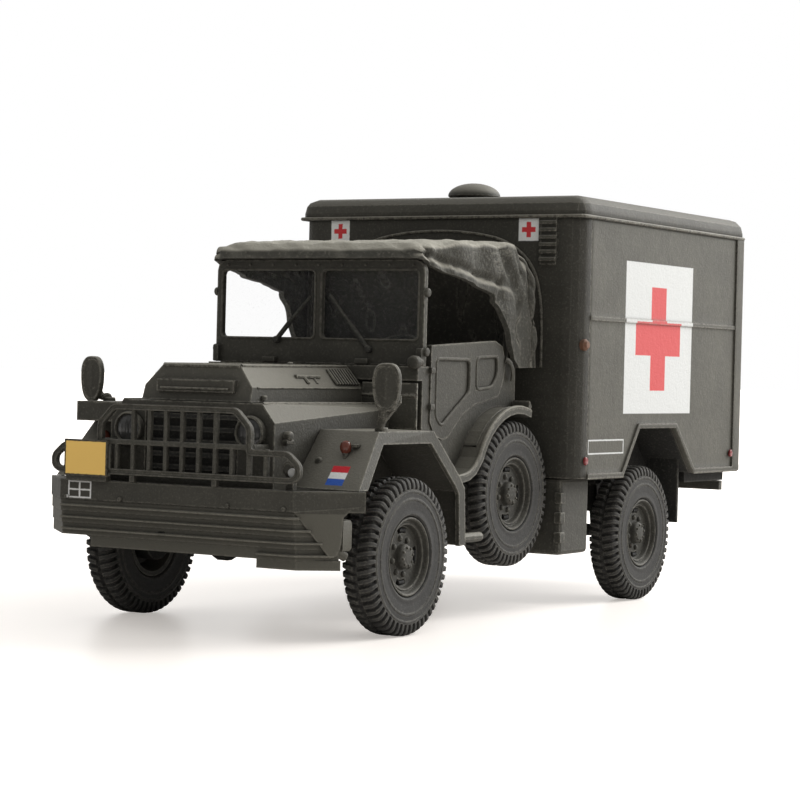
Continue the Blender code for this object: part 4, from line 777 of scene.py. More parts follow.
class AMBULANCE_OT_wheels(Operator):
    """Make the treaded tyres and the dished rims of the road and side wheels"""
    bl_idname = "ambulance.wheels"
    bl_label = "Make the Wheels"

    def execute(self, context):
        """Build each wheel round its joint and let it ride on its own body."""
        form = context.scene.ambulance_wheels
        for place, word in WHEELS:
            for side, sign in SIDES:
                body = f"{word}_{side}"
                centre = tuple(JOINTS[f"{body}_turns"] / MM - Vector((0, FRONT_AXLE_Y, 0)))
                tyre = [tyre_patch(centre, sign, form.lugs, form.lug_depth)]
                make_piece(f"treaded_tyre_{place}_{side}", tyre, "rubber", body,
                           (f"tyre_{place}_{side}",), 30.0)
                make_piece(f"dished_rim_{place}_{side}", rim_patches(centre, sign, form.nuts),
                           "rim_paint", body, replaces=(f"rim_{place}_{side}",))
                # Dark tubes in the rim's slots: painted shade.
                make_piece(f"rim_slot_shadows_{place}_{side}", slot_shadows(centre, sign), "painted_shade_black", body)
        return {"FINISHED"}


# Add-on: the hood

def hood_form():
    """The plain hood B(s, v) and the length |T(s) - E(s)| of its sides.

    B runs from the left side's edge E(s) up to the top line T(s), over to the right and down, with
    round corners.
    """
    rows, sides, corner, top = 90, 26, 7, 60
    length = np.linspace(0, 1, rows)
    marks = np.linspace(0, 1, len(HOOD_TOP))
    ridge, edge = (np.stack([np.interp(length, marks, values) for values in line.T], 1)
                   for line in (HOOD_TOP, HOOD_EDGE))
    half = 8.45 + 0.42 * ramp(ridge[:, 0], 5.1, 9.0) - 0.35 * (1 - ramp(length, 0, 0.12)) ** 2
    reach = np.linalg.norm(ridge - edge, axis=1)
    round_by = np.minimum(0.55, reach * 0.4)[:, None]
    down = unit(edge - ridge)
    rise = np.linspace(0, 1, sides)
    turn = np.linspace(0, math.pi / 2, corner + 2)[1:-1]
    side_yz = edge[:, None] + (ridge + down * round_by - edge)[:, None] * rise[None, :, None]
    side_x = np.broadcast_to(half[:, None], (rows, sides))
    bend_yz = ridge[:, None] + down[:, None] * (round_by * (1 - np.sin(turn)))[..., None]
    bend_x = half[:, None] - round_by * (1 - np.cos(turn))
    roof_yz = np.broadcast_to(ridge[:, None], (rows, top, 2))
    roof_x = (half[:, None] - round_by) * np.linspace(1, -1, top)
    flank, bend, roof = (np.concatenate([x[..., None], yz], 2) for x, yz in
                         ((side_x, side_yz), (bend_x, bend_yz), (roof_x, roof_yz)))
    mirrored = (-1, 1, 1)
    return np.concatenate([flank, bend, roof, bend[:, ::-1] * mirrored, flank[:, ::-1] * mirrored], 1), reach


def hood_folds(place, on_side):
    """The depth f of the hood's folds: waves in the places, each kept to its part of the hood."""
    x, y, z = np.moveaxis(place, 2, 0)
    behind = ramp(y, 16.8, 18.4)
    sag = (1 - on_side) * np.sin(math.pi * (y - 5.6) / 5.6) ** 2
    folds = on_side * (0.5 + 0.5 * np.sin(1.7 * y + 0.8 * z + 1.4 * np.sin(0.7 * z + 0.5 * y))) ** 2
    rear = behind * (0.5 + 0.5 * np.sin(2.1 * x + 1.3 * np.sin(0.9 * z + 0.3 * x))) ** 1.5
    side_rear = behind * on_side * (0.5 + 0.5 * np.sin(3.4 * y - 0.3 * z + 1.5 * np.sin(0.9 * z)))
    crease = 1 - np.abs(np.sin(0.9 * x + 0.5 * np.sin(1.3 * y)) * np.sin(1.1 * y + 0.7 * np.sin(0.8 * x + z)))
    small = 0.5 + 0.5 * np.sin(2.9 * x + 1.7 * y + 2.3 * np.sin(1.1 * z + 0.7 * y))
    lumps = 0.5 + 0.5 * np.sin(4.3 * x + 1.9 * np.sin(2.2 * y)) * np.sin(3.7 * y + 1.3 * z)
    valley = on_side * np.exp(-((y - 18.7 - 0.08 * (22 - z)) / 0.4) ** 2) * ramp(-z, -24, -22.5)
    pinch = on_side * np.exp(-((z - 24.0 + 0.16 * (y - 8)) / 0.28) ** 2) * ramp(-y, -17, -15)
    depth = (0.25 * sag + 0.55 * folds + 0.8 * rear + 0.6 * side_rear + 0.4 * crease ** 3 + 0.22 * small
             + 0.2 * lumps + 1.1 * valley + 0.6 * pinch)
    return depth * (0.4 + 0.6 * np.maximum(on_side, behind))


def hood_patch(wrinkle, sheet):
    """The hood: P(s, v) = B(s, v) + m (0.25 - w f(s, v)) n(s, v), closed by a surface a sheet further in.

    B is the plain form and f the depth of the folds. m is one, and goes to zero at the sharp front
    corners, where the side is lower than 0.6.
    """
    base, reach = hood_form()
    rows, columns = base.shape[:2]
    normal = unit(np.cross(np.gradient(base, axis=0), np.gradient(base, axis=1)))
    normal *= np.sign((normal * (base - (0, 12, 18))).sum(2, keepdims=True))
    on_side = ramp(np.abs(base[..., 0]), 7.4, 8.1)
    base[..., 0] += 0.6 * np.sign(base[..., 0]) * on_side * ramp(base[..., 1], 15.0, 19.0)
    depth = hood_folds(base, on_side)
    full = 1 - on_side * (1 - ramp(reach, 0, 0.6))[:, None]
    outer = base + (full * (0.25 - wrinkle * depth))[..., None] * normal
    inner = base - (full * (wrinkle * np.minimum(depth, 0.7) + sheet - 0.25))[..., None] * normal
    faces = grid(rows, columns)
    count = rows * columns
    border = np.concatenate([np.arange(columns), np.arange(2, rows + 1) * columns - 1,
                             (rows - 1) * columns + np.arange(columns - 2, -1, -1),
                             np.arange(rows - 2, 0, -1) * columns])
    ahead = np.roll(border, -1)
    rim = np.stack([border, ahead, ahead + count, border + count], 1)
    return np.concatenate([outer.reshape(-1, 3), inner.reshape(-1, 3)]), faces, faces[:, ::-1] + count, rim


class AMBULANCE_OT_hood(Operator):
    """Make the wrinkled hood over the cab"""
    bl_idname = "ambulance.hood"
    bl_label = "Make the Hood"

    def execute(self, context):
        """Build the cast hood with its folds in place of the plain one."""
        form = context.scene.ambulance_hood
        make_piece("wrinkled_hood", [hood_patch(form.wrinkle, form.sheet)], "canvas",
                   replaces=("canvas_hood",), sharp=50.0)
        return {"FINISHED"}


# Add-on: the front end

def guard_patches():
    """The guard: a squarish closed tube round it, with upright, level and supporting bars.

    The tube's path is the outline moved in by half its width.
    """
    front, back, rim = GUARD_FRONT, GUARD_FRONT + 0.4, 0.37
    middle = (front + back) / 2
    half = [(4.7, 14.25), (5.85, 13.1), (5.85, 11.75), (8.5, 11.75), (9.43, 10.95), (9.43, 10.17), (8.9, 9.8)]
    outline = np.array(half + [(-x, z) for x, z in half[::-1]])[::-1]
    path = at_height(softened(shrunk(outline, rim / 2), 0.3), "y", middle)
    patches = [tube(path, rim / 2, 12, closed=True, flat=0.4 / rim, power=0.5)]
    for inset in (0.05, rim - 0.05):
        bead = softened(shrunk(outline, inset), 0.3)
        patches.append(tube(at_height(bead, "y", front), 0.06, 6, closed=True))
    level = [(-5.7, middle, 11.86), (5.7, middle, 11.86)]
    patches.append(tube(level, 0.17, 12, flat=1.2, power=0.5))
    for low, high, count in ((11.8, 14.0, 6), (10.0, 11.8, 12)):
        for index in range(count):
            x = (index - (count - 1) / 2) * 1.25
            bar = [(x, middle, low), (x, middle, high)]
            patches.append(tube(bar, 0.19, 12, flat=0.78, power=0.6))
    return patches + both_sides([
        block((2.94, 3.31), (front + 0.05, back - 0.05), (9.38, 10.0), 0.04),
        block((5.55, 5.88), (back - 0.1, -8.62), (11.7, 12.05), 0.04)])


def bumper_details():
    """The smooth left end plate, bolts, the strip under the number plate and lumps behind the bumper."""
    ahead = Vector(BUMPER_END)
    out = Vector((ahead.y, -ahead.x, 0))
    turn = Matrix((ahead, (0, 0, 1), out)).transposed().to_4x4()
    turn.translation = (BUMPER_CORNER, BUMPER_FRONT, 0)
    plate = ((0.0, 8.15), (4.35, 8.5), (3.6, 8.3), (3.1, 7.8), (3.0, 6.2), (2.75, 5.5), (2.3, 5.35))
    bolt = button(0.16, 0.14, 0.06)
    return [moved(slab(plate, -0.6, 0.02, "z"), turn),
            *(lathe(bolt, (x, BUMPER_FRONT, 8.25), "y", 8, -1) for x in (-8.3, -4.1, 4.1, 8.2)),
            block((-8.2, -5.0), (-10.62, -10.2), (9.3, 9.66), 0.04),
            block((6.2, 8.6), (-8.6, -7.6), (5.0, 7.2), 0.2),
            block((8.7, 10.3), (-6.9, -5.9), (5.6, 7.6), 0.25),
            tube([(8.2, -7.2, 6.6), (9.6, -7.3, 5.9), (10.1, -6.3, 5.3)], 0.3, 10)]


def rib_patches():
    """The bumper's rounded ribs, which end on the slanting edge of the left end plate."""
    patches = []
    for index in range(4):
        y, z = BUMPER_FRONT + 0.1 * (index + 1), 7.72 - 0.75 * index
        start = -8.75 if index < 3 else 6.15
        plain = max(0.2, 2.32 * (8.05 - z) / 2.6)
        end = (BUMPER_CORNER + BUMPER_END[0] * plain, y + BUMPER_END[1] * plain, z)
        patches.append(tube([(start, y, z), (BUMPER_CORNER, y, z), end], 0.33, 10, flat=0.3))
    return patches


def lamp_pieces():
    """The patches of the lamps, their holders and the reflectors, by the name of the piece."""
    centre, steps = (4.63, -8.62, 12.7), 32
    ring = ((-0.05, 1.0), (0.2, 1.08), (0.42, 1.04), (0.46, 0.94), (0.36, 0.86), (0.1, 0.84))
    glass = ((0.05, 0.0), (0.05, 0.9), (0.30, 0.88), (0.42, 0.66), (0.50, 0.35), (0.52, 0.0))
    bulb = ((0.0, 0.0), (0.0, 0.24), (0.15, 0.34), (0.38, 0.37), (0.6, 0.31), (0.74, 0.17), (0.78, 0.0))
    around = lathe(ring, centre, "y", steps, -1)[0]
    left = {
        "lamp_bodies": [
            (around, grid(steps, len(ring), True, True)),
            stud(0.5, 0.75, 0.2, (8.2, -9.2, 10.72), "y", 16, -1),
            tube([(9.3, -5.0, 11.35), (9.3, -5.25, 11.4), (9.3, -5.25, 11.66)], 0.2),
            block((9.55, 10.1), (-5.2, -4.75), (11.95, 12.15)),
            block((10.0, 11.2), (50.3, 50.45), (10.9, 12.3))],
        "headlamp_lenses": [lathe(glass, centre, "y", steps, -1)],
        "indicator_bulbs": [lathe(bulb, (9.3, -5.25, 11.6), "z", 16)],
        "red_reflectors": [
            stud(0.3, 0.14, 0.08, (11.78, 22.75, 10.65)),
            stud(0.3, 0.14, 0.08, (11.9, 48.3, 10.8), "x", 14),
            stud(0.38, 0.2, 0.1, (10.6, 50.38, 11.6), "y", 14)],
        "small_lamp_lenses": [stud(0.3, 0.2, 0.1, (8.5, -9.85, 10.45), "y", 12, -1)]}
    return {name: both_sides(patches) for name, patches in left.items()}


class AMBULANCE_OT_front(Operator):
    """Make the barred guard, the bumper's details and the lamps"""
    bl_idname = "ambulance.front"
    bl_label = "Make the Front End"

    def execute(self, context):
        """Build the pieces of the front end and the lamps round the model."""
        make_piece("barred_guard", guard_patches(), "guard_paint", replaces=("grille_guard",))
        make_piece("bumper_details", bumper_details(), "bumper_paint")
        make_piece("bumper_ribs", rib_patches(), "dusty_lit_rib_paint")
        # A dark block in the bumper's hole: painted shade.
        make_piece("bumper_hole_shadow", [block((-1.3, -0.8), (-10.06, -9.8), (6.1, 6.4))], "painted_shade_black")
        lamps = lamp_pieces()
        make_piece("lamp_bodies", lamps["lamp_bodies"], "olive")
        make_piece("headlamp_lenses", lamps["headlamp_lenses"], "lamp_glass",
                   replaces=("headlamp_left", "headlamp_right"))
        make_piece("indicator_bulbs", lamps["indicator_bulbs"], "brown_lens")
        make_piece("red_reflectors", lamps["red_reflectors"], "red_lens")
        make_piece("small_lamp_lenses", lamps["small_lamp_lenses"], "small_lens")
        knobs = [stud(0.3, 0.45, 0.12, (NOSE_HALF, -7.35, 12.55)),
                 block((NOSE_HALF, 6.6), (-7.7, -6.9), (12.05, 12.35), 0.08),
                 stud(0.28, 0.22, 0.12, (7.4, -5.2, 11.0), "y", 10, -1)]
        make_piece("nose_knobs", knobs, "olive")
        return {"FINISHED"}


# Add-on: the bonnet

def slot_bar(steps):
    """A bar down the bonnet's left flank, a number of steps along the row of slots."""
    y = SLOT_START + steps * SLOT_STEP
    return tube([(3.2, y, 16.68), (4.04, y, 15.72)], 0.1, 6)


def bonnet_details():
    """Beads, bars between the slots, handles, knobs and strips that stand on the bonnet."""
    cowl = ((4.1, 15.4), (2.93, 16.78), (-2.93, 16.78), (-4.1, 15.4))
    left = [slot_bar(index) for index in range(SLOT_COUNT + 1)] + [
        tube([(3.55, -2.3, 16.2), (3.55, 0.5, 16.2)], 0.13),
        tube([(3.4, -1.3, 16.25), (3.9, -1.3, 15.75)], 0.15),
        tube([(3.4, -0.2, 16.25), (3.85, -0.2, 15.75)], 0.12),
        stud(0.22, 0.3, 0.12, (4.2, -6.8, 14.7), "z"),
        tube([(4.12, -7.4, 15.45), (4.14, 4.7, 15.5)], 0.06),
        tube([(2.93, -7.5, 16.79), (2.93, 4.7, 16.9)], 0.12),
        block((4.1, 8.3), (4.92, 5.05), (12.9, 15.95), 0.03),
        tube([(4.1, 4.92, 15.1), (8.2, 4.92, 15.1)], 0.1),
        tube([(5.3, -8.5, 14.52), (5.3, 5.0, 14.53)], 0.08)]
    return both_sides(left) + [
        tube([(0, -7.6, 16.82), (0, 4.8, 16.95)], 0.07),
        slab(cowl, 4.8, 5.6, "y", 0.1),
        stud(0.2, 0.3, 0.12, (2.2, -0.9, 16.82), "z"),
        block((-2.6, 2.6), (-8.42, -8.2), (15.25, 15.4)),
        tube([(-2.93, -7.56, 16.74), (2.93, -7.56, 16.74)], 0.14)]


class AMBULANCE_OT_bonnet(Operator):
    """Make the small parts on the bonnet"""
    bl_idname = "ambulance.bonnet"
    bl_label = "Make the Bonnet Details"

    def execute(self, context):
        """Build the beads and fittings that stand on the bonnet, and dark bars of painted shade in its slots.
        """
        make_piece("bonnet_details", bonnet_details(), "olive_light")
        # Dark bars in the gaps between the slot bars: painted shade.
        slot_gap_shadows = both_sides([slot_bar(index + 0.5) for index in range(SLOT_COUNT)])
        make_piece("flank_slot_shadows", slot_gap_shadows, "painted_shade_black")
        return {"FINISHED"}


# Add-on: the cab

def mirror_patches(foot):
    """The left mirror head with a sunk, ribbed back, on a bent stalk that stands at a height.

    Ring k of the head is P(t) = (k X(t), h_k - 0.08 e^(-(k X(t) / 0.16)^2), k Z(t)). (X, Z) is the
    oval (w cos t, 1.5 sin t) with both made squarer by a power, and w narrows towards its foot.
    """
    turn = np.linspace(0, 2 * math.pi, 40, endpoint=False)
    up = 1.5 * np.sign(np.sin(turn)) * np.abs(np.sin(turn)) ** 0.85
    out = (0.93 + 0.07 * up) * np.sign(np.cos(turn)) * np.abs(np.cos(turn)) ** 0.7
    scale = np.array((0.0, 0.5, 0.93, 1.0, 1.0, 0.96, 0.88, 0.82, 0.5, 0.2, 0.0))[:, None]
    level = np.array((0.2, 0.2, 0.2, 0.12, -0.12, -0.2, -0.2, -0.13, -0.12, -0.12, -0.12))[:, None]
    ribbed = np.array((0, 0, 0, 0, 0, 0, 0, 1, 1, 1, 1))[:, None]
    x = scale * out
    points = np.stack([x, level - 0.08 * ribbed * np.exp(-(x / 0.16) ** 2), scale * up], 2)
    turned = Matrix.Translation((11.4, -4.0, 15.7)) @ Matrix.Rotation(math.radians(7), 4, "Z")
    head = moved((points, grid(*x.shape, closed_columns=True)), turned)
    knee = (foot + 14.6) / 2
    stalk = rounded_line([(10.6, -3.2, foot), (10.62, -3.25, foot + 0.4), (10.95, -3.6, knee),
                          (11.25, -3.85, 15.0)])
    neck = [(10.95, -3.65, knee + 0.1), (11.3, -3.88, 15.1)]
    return [head, tube(stalk, 0.22, 10), tube(neck, 0.3, 10), stud(0.42, 0.25, 0.1, stalk[0], "z")]


def windscreen_details():
    """Beads round the panes, hinge knobs, brackets, bolts along the top and the horn on the left."""
    pane = at_height(rectangle(0.24, 7.86, 18.75, 23.4, 0.35), "y", SCREEN_FRONT)
    left = [tube(pane, 0.09, 6, closed=True),
            *(stud(0.3, 0.3, 0.12, (8.25, 5.85, z)) for z in (21.9, 18.0)),
            block((7.9, 8.32), (5.35, 5.7), (17.1, 18.25), 0.08),
            block((3.2, 4.2), (5.3, 5.7), (17.1, 17.5), 0.08)]
    bolts = [stud(0.1, 0.1, 0.05, (x, SCREEN_FRONT, 23.72), "y", 8, -1)
             for x in np.linspace(-7.4, 7.4, 9)]
    horn = [stud(0.45, 0.6, 0.2, (8.1, 5.1, 17.3), "y", 18, -1),
            stud(0.34, 0.45, 0.1, (8.1, 5.5, 17.3), "y", 18, -1)]
    return both_sides(left) + bolts + horn


def wiper_patches():
    """Two wipers at rest: a blade, the arm that thickens towards its pivot, and the pivot."""
    patches = []
    for (x0, z0), (x1, z1) in (((1.05, 21.66), (4.15, 18.1)), ((-0.48, 21.59), (-3.2, 18.65))):
        middle = ((x0 + x1) / 2, 5.42, (z0 + z1) / 2)
        patches += [tube([(x0, 5.5, z0), middle], 0.12), tube([middle, (x1, 5.5, z1)], 0.17),
                    stud(0.25, 0.4, 0.12, (x1, 5.7, z1), "y", 12, -1)]
    return patches


def door_details():
    """Raised borders of the left door's panels, its strap and its two hinges."""
    borders = [at_height(softened(panel, 0.5), "x", DOOR_OUT - 0.05) for panel in DOOR_PANELS]
    strap = rounded_line([(8.5, 16.6, 17.7), (8.75, 16.9, 17.5), (8.8, 17.2, 16.9), (8.6, 17.45, 16.25)])
    hinges = [block((8.35, 8.6), (6.3, 6.8), (z, z + 0.4), 0.06) for z in (16.6, 14.2)]
    return [tube(border, 0.13, closed=True) for border in borders] + [tube(strap, 0.2, flat=0.6)] + hinges


def guard_details():
    """The rolled lip and the panel line of the guard over the left side wheel."""
    over = arc(SPARE_CENTRE, 5.95, 154, 72, 24)
    lip = at_height(rounded_line(np.concatenate([GUARD_LINE, over]), 1), "x", 9.82)
    panel_line = arc(SPARE_CENTRE, 5.96, 146, 84, 20)
    outer, inner = at_height(panel_line[::-1], "x", 9.35), at_height(panel_line, "x", 7.6)
    return [tube(lip, 0.15), tube(np.concatenate([outer, inner]), 0.06, 6, closed=True)]


class AMBULANCE_OT_cab(Operator):
    """Make the mirrors, wipers and small parts of the cab"""
    bl_idname = "ambulance.cab"
    bl_label = "Make the Cab Details"

    def execute(self, context):
        """Build the parts that stand on the windscreen, doors, guards and wings."""
        wedge = ((10.4, 12.95), (10.8, 12.95), (11.15, 13.55), (12.2, 14.75), (12.2, 15.2), (10.9, 15.2),
                 (10.7, 14.2))
        left = mirror_patches(12.95) + [slab(wedge, -3.75, -3.45, "y", 0.1)]
        make_piece("ribbed_mirror_left", left, "olive", replaces=("mirror_left",))
        right = mirrored(mirror_patches(14.25))
        make_piece("ribbed_mirror_right", right, "olive", replaces=("mirror_right",))
        make_piece("windscreen_details", windscreen_details(), "guard_paint")
        make_piece("wipers", wiper_patches(), "underside")
        make_piece("door_details", both_sides(door_details()), "guard_paint")
        make_piece("guard_lips", both_sides(guard_details()), "olive_light")
        return {"FINISHED"}


# Add-on: the box

def box_front_details():
    """The arched bead round the hood and the louvres on the front wall."""
    half = [(0.0, 27.0), (3.2, 26.8), (5.9, 26.2), (7.9, 24.6), (8.6, 22.4), (8.75, 19.9), (8.75, 17.2)]
    arch = rounded_line([(-x, z) for x, z in half[:0:-1]] + half)
    louvres = [slab(rectangle(8.45, 9.85, z, z + 0.3, 0.1), BOX_FRONT - 0.3, BOX_FRONT - 0.05, "y", 0.08)
               for z in 24.75 + 0.52 * np.arange(6)]
    return [tube(at_height(arch, "y", BOX_FRONT - 0.02), 0.11)] + louvres


def box_side_details():
    """The beads along the left sill, before and behind the wheel arch."""
    x = BOX_HALF + 0.06
    return [tube([(x, front, 9.42), (x, rear, 9.42)], 0.1) for front, rear in ((41.3, 49.8), (22.9, 28.7))]


def rear_details():
    """The window's bead, panel line, hinges and handle of the left rear door, which the photograph hides."""
    rear = BOX_REAR + 0.4
    window, panel = (at_height(line, "y", rear) for line in
                     (rectangle(3.1, 8.5, 20.1, 24.7, 0.5), rectangle(0.7, 11.2, 10.5, 18.9, 0.5)))
    patches = [tube(window, 0.11, 6, closed=True), tube(panel, 0.09, 6, closed=True),
               tube([(0.9, rear, 17.2), (0.9, rear + 0.3, 17.2), (1.9, rear + 0.32, 17.2)], 0.12)]
    for z in (12.0, 16.5, 25.8):
        patches += [block((9.6, 11.5), (rear - 0.05, rear + 0.14), (z - 0.3, z + 0.3), 0.06),
                    tube([(11.4, rear + 0.1, z - 0.45), (11.4, rear + 0.1, z + 0.45)], 0.13)]
    return patches


def gutter_patch():
    """The light bead all round under the roof's edge: a closed tube."""
    x, front, rear = BOX_HALF + 0.1, BOX_FRONT - 0.1, BOX_REAR + 0.3
    return tube(at_height(softened(rectangle(-x, x, front, rear), 0.5), "z", ROOF_LOW), 0.13, closed=True)


def vent_patch():
    """The roof's vent: a short neck under a dome."""
    turn = np.radians(np.linspace(0, 90, 12))
    dome = np.stack([29.85 + 0.98 * np.sin(turn), 1.95 * np.cos(turn)], 1)
    neck = ((29.48, 0.0), (29.48, 1.3), (29.75, 1.3), (29.78, 1.9))
    return lathe(np.concatenate([neck, dome]), (0.0, 26.8, 0.0), "z", 48)


class AMBULANCE_OT_box(Operator):
    """Make the beads, louvres, hinges, markers and vent of the ambulance box"""
    bl_idname = "ambulance.box"
    bl_label = "Make the Box Details"

    def execute(self, context):
        """Build the parts that stand on the box's front, sides, rear and roof."""
        make_piece("box_front_details", box_front_details(), "olive")
        make_piece("roof_gutter", [gutter_patch()], "olive_light")
        make_piece("box_side_details", both_sides(box_side_details()), "olive")
        seam = tube([(0, 50.42, 9.9), (0, 50.42, 27.8)], 0.12)
        make_piece("rear_door_details", both_sides(rear_details()) + [seam], "guard_paint")
        marker = ((0.0, 0.0), (0.0, 0.42), (0.3, 0.42), (0.5, 0.25), (0.52, 0.0))
        make_piece("side_markers", both_sides([lathe(marker, (11.5, 22.35, 18.87), "x", 14)]), "rust")
        make_piece("domed_vent", [vent_patch()], "olive", replaces=("roof_vent",))
        return {"FINISHED"}


# Add-on: the underside

def underside_patches():
    """Shock absorbers with their brackets, stays and pipes each side, and the exhaust with its silencer."""
    stay = rounded_line([(8.1, 33.9, 9.2), (8.1, 34.1, 5.6), (8.1, 33.8, 5.2), (8.0, 33.4, 5.3)])
    silencer = ((0, 0), (0, 0.8), (0.3, 0.95), (6.2, 0.95), (6.5, 0.8), (6.5, 0))
    left = [tube([(7.6, 32.2, 8.9), (7.7, 32.4, 6.6)], 0.42, 12),
            tube([(7.7, 32.4, 6.8), (7.75, 32.7, 4.9)], 0.26, 10),
            block((7.2, 8.2), (31.7, 32.7), (8.6, 9.3), 0.1),
            tube(stay, 0.09, 6),
            tube([(4.9, 24.0, 6.2), (4.9, 33.5, 6.6)], 0.16)]
    return both_sides(left) + [
        tube([(-2.6, 4.0, 6.4), (-3.0, 12.0, 6.4), (-2.9, 26.0, 6.6)], 0.3, 10),
        lathe(silencer, (-2.9, 26.0, 6.6), "y", 16)]


def tank_patches():
    """The three teeth on the left tank's front edge."""
    return [block((10.1, 10.62), (21.45, 22.1), (z, z + 0.8), 0.08) for z in (4.8, 6.2, 7.6)]


class AMBULANCE_OT_underside(Operator):
    """Make the parts below the body"""
    bl_idname = "ambulance.underside"
    bl_label = "Make the Underside Details"

    def execute(self, context):
        """Build the parts that hang below the box and the frame."""
        make_piece("underside_details", underside_patches(), "underside")
        make_piece("tank_details", both_sides(tank_patches()), "olive")
        return {"FINISHED"}


# Add-on: the stage

def make_camera():
    """The camera of the photograph, its axes built from yaw, pitch and roll."""
    yaw, pitch, roll = CAMERA_YAW, CAMERA_PITCH, CAMERA_ROLL
    level = Vector((math.cos(yaw), math.sin(yaw), 0.0))
    onward = Vector((-math.sin(yaw), math.cos(yaw), 0.0))
    ahead = onward * math.cos(pitch) + Vector((0.0, 0.0, math.sin(pitch)))
    above = level.cross(ahead)
    right = level * math.cos(roll) + above * math.sin(roll)
    up = above * math.cos(roll) - level * math.sin(roll)
    data = bpy.data.cameras.new("camera")
    data.lens = FOCAL_PIXELS / IMAGE_SIZE * SENSOR_WIDTH
    data.sensor_width = SENSOR_WIDTH
    data.shift_x = (IMAGE_SIZE / 2 - PICTURE_CENTRE[0]) / IMAGE_SIZE
    data.shift_y = (PICTURE_CENTRE[1] - IMAGE_SIZE / 2) / IMAGE_SIZE
    data.clip_start = 0.005
    data.clip_end = 10.0
    eye = new_object("camera", data)
    turn = Matrix((right, up, -ahead)).transposed().to_4x4()
    eye.matrix_world = Matrix.Translation(spot(*CAMERA_PLACE)) @ turn
    bpy.context.scene.camera = eye


def make_floor():
    """A white floor that keeps its shadows; the camera sees it lighter, and white far away."""
    size, near, far = 3.0, 0.05, 0.14
    mesh = bpy.data.meshes.new("floor")
    corners = [(-size, -size, 0), (size, -size, 0), (size, size, 0), (-size, size, 0)]
    mesh.from_pydata(corners, [], [(0, 1, 2, 3)])
    floor = new_object("floor", mesh)
    tree, shader, place = new_material("white_floor")
    shader.inputs["Base Color"].default_value = (0.88, 0.84, 0.80, 1.0)
    shader.inputs["Roughness"].default_value = 0.35
    shader.inputs["Specular IOR Level"].default_value = 0.3
    seen = add_node(tree, "ShaderNodeLightPath").outputs["Is Camera Ray"]
    distance = add_node(tree, "ShaderNodeVectorMath", {"operation": "LENGTH"}, _0=place).outputs["Value"]
    faded = calculate(tree, "MULTIPLY_ADD", spread(tree, distance, near, far), 0.6, 0.4)
    shader.inputs["Emission Color"].default_value = (1.0, 0.95, 0.90, 1.0)
    tree.links.new(calculate(tree, "MULTIPLY", seen, faded), shader.inputs["Emission Strength"])
    mesh.materials.append(FINISHES["white_floor"])


def make_world(fill):
    """White for the camera; for the model a weaker light that comes most from above and behind."""
    world = bpy.context.scene.world or bpy.data.worlds.new("world")
    bpy.context.scene.world = world
    world.use_nodes = True
    tree = world.node_tree
    light = tree.nodes["Background"].inputs
    light["Color"].default_value = (1.0, 1.0, 1.0, 1.0)
    way = add_node(tree, "ShaderNodeTexCoord").outputs["Generated"]
    above_behind = (0.25, 0.5, 0.83)
    toward = add_node(tree, "ShaderNodeVectorMath", {"operation": "DOT_PRODUCT"}, _0=way,
                      _1=above_behind).outputs["Value"]
    behind = add_node(tree, "ShaderNodeSeparateXYZ", None, Vector=way).outputs["Y"]
    diffuse = mapped(tree, toward, -0.6, 0.9, 0.3 * fill, 1.5 * fill)
    mirrored = mapped(tree, behind, -0.3, 0.5, 0.3, 1.0)
    ray = add_node(tree, "ShaderNodeLightPath").outputs
    plain = calculate(tree, "MAXIMUM", ray["Is Camera Ray"], ray["Is Transmission Ray"])
    lit = add_node(tree, "ShaderNodeMix", None, _0=ray["Is Glossy Ray"], _2=diffuse, _3=mirrored).outputs[0]
    strength = add_node(tree, "ShaderNodeMix", None, _0=plain, _2=lit, _3=1.0).outputs[0]
    tree.links.new(strength, light["Strength"])


def make_light(name, place, target, size, power):
    """A square soft light at a place in millimetres, turned to a target."""
    data = bpy.data.lights.new(name, "AREA")
    data.shape = "SQUARE"
    data.size = size * MM
    data.energy = power
    start, end = spot(*place), spot(*target)
    turn = (start - end).to_track_quat("Z", "Y").to_matrix().to_4x4()
    new_object(name, data).matrix_world = Matrix.Translation(start) @ turn


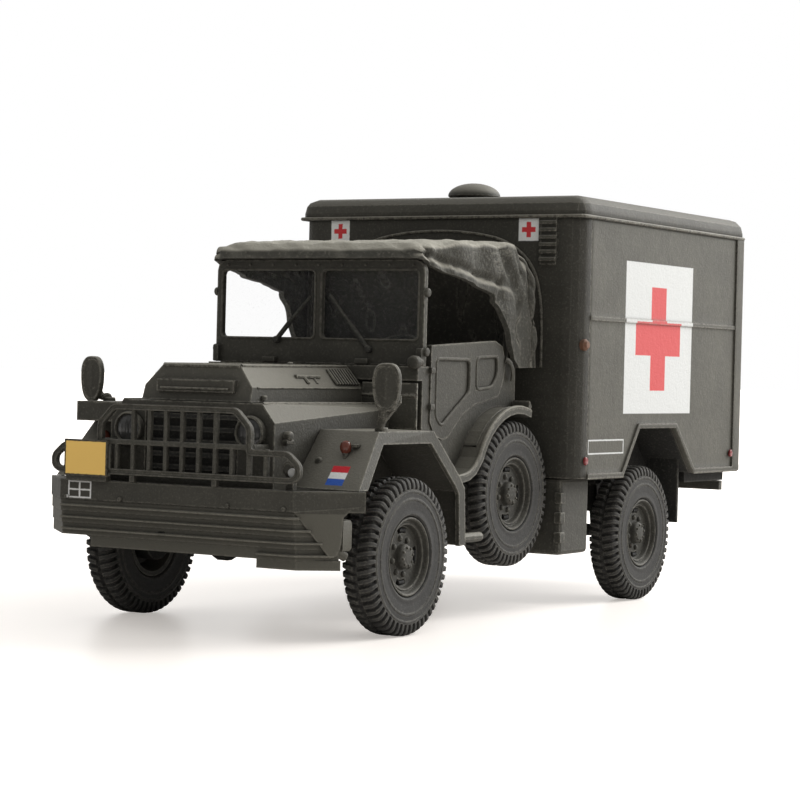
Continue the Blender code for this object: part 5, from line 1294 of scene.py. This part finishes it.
class AMBULANCE_OT_stage(Operator):
    """Set the floor, the light and the camera"""
    bl_idname = "ambulance.stage"
    bl_label = "Set the Stage"

    def execute(self, context):
        """Build the white studio of the photograph."""
        light = context.scene.ambulance_stage
        make_floor()
        make_world(light.fill)
        make_light("key", (150.0, 270.0, 190.0), (0.0, 20.0, 14.0), 260.0, light.key)
        make_camera()
        context.scene.view_settings.view_transform = "Standard"
        return {"FINISHED"}


class AMBULANCE_PT_sidebar(Panel):
    """Lists the steps that dress the model"""
    bl_idname = "AMBULANCE_PT_sidebar"
    bl_label = "Field Ambulance Model"
    bl_space_type = "VIEW_3D"
    bl_region_type = "UI"
    bl_category = "Ambulance"

    def draw(self, context):
        """Show each step's settings above its button."""
        layout = self.layout
        for settings in SETTINGS:
            group = getattr(context.scene, settings)
            for name in group.bl_rna.properties.keys():
                if name not in ("rna_type", "name"):
                    layout.prop(group, name)
        for step in STEPS:
            layout.operator(step.bl_idname)


SETTINGS = {"ambulance_paint": PaintSettings, "ambulance_wheels": WheelSettings,
            "ambulance_hood": HoodSettings, "ambulance_stage": StageSettings}
STEPS = (AMBULANCE_OT_paint, AMBULANCE_OT_wheels, AMBULANCE_OT_hood, AMBULANCE_OT_front,
         AMBULANCE_OT_bonnet, AMBULANCE_OT_cab, AMBULANCE_OT_box, AMBULANCE_OT_underside, AMBULANCE_OT_stage)


def register():
    """Register the classes and hang their settings on the scene."""
    for kind in (*SETTINGS.values(), *STEPS, AMBULANCE_PT_sidebar):
        bpy.utils.register_class(kind)
    for name, kind in SETTINGS.items():
        setattr(bpy.types.Scene, name, PointerProperty(type=kind))


def unregister():
    """Take the settings and the classes away again."""
    for name in SETTINGS:
        delattr(bpy.types.Scene, name)
    for kind in reversed((*SETTINGS.values(), *STEPS, AMBULANCE_PT_sidebar)):
        bpy.utils.unregister_class(kind)


def main():
    """Dress the model step by step."""
    register()
    bpy.ops.ambulance.paint()
    bpy.ops.ambulance.wheels()
    bpy.ops.ambulance.hood()
    bpy.ops.ambulance.front()
    bpy.ops.ambulance.bonnet()
    bpy.ops.ambulance.cab()
    bpy.ops.ambulance.box()
    bpy.ops.ambulance.underside()
    bpy.ops.ambulance.stage()


if __name__ == "__main__":
    main()
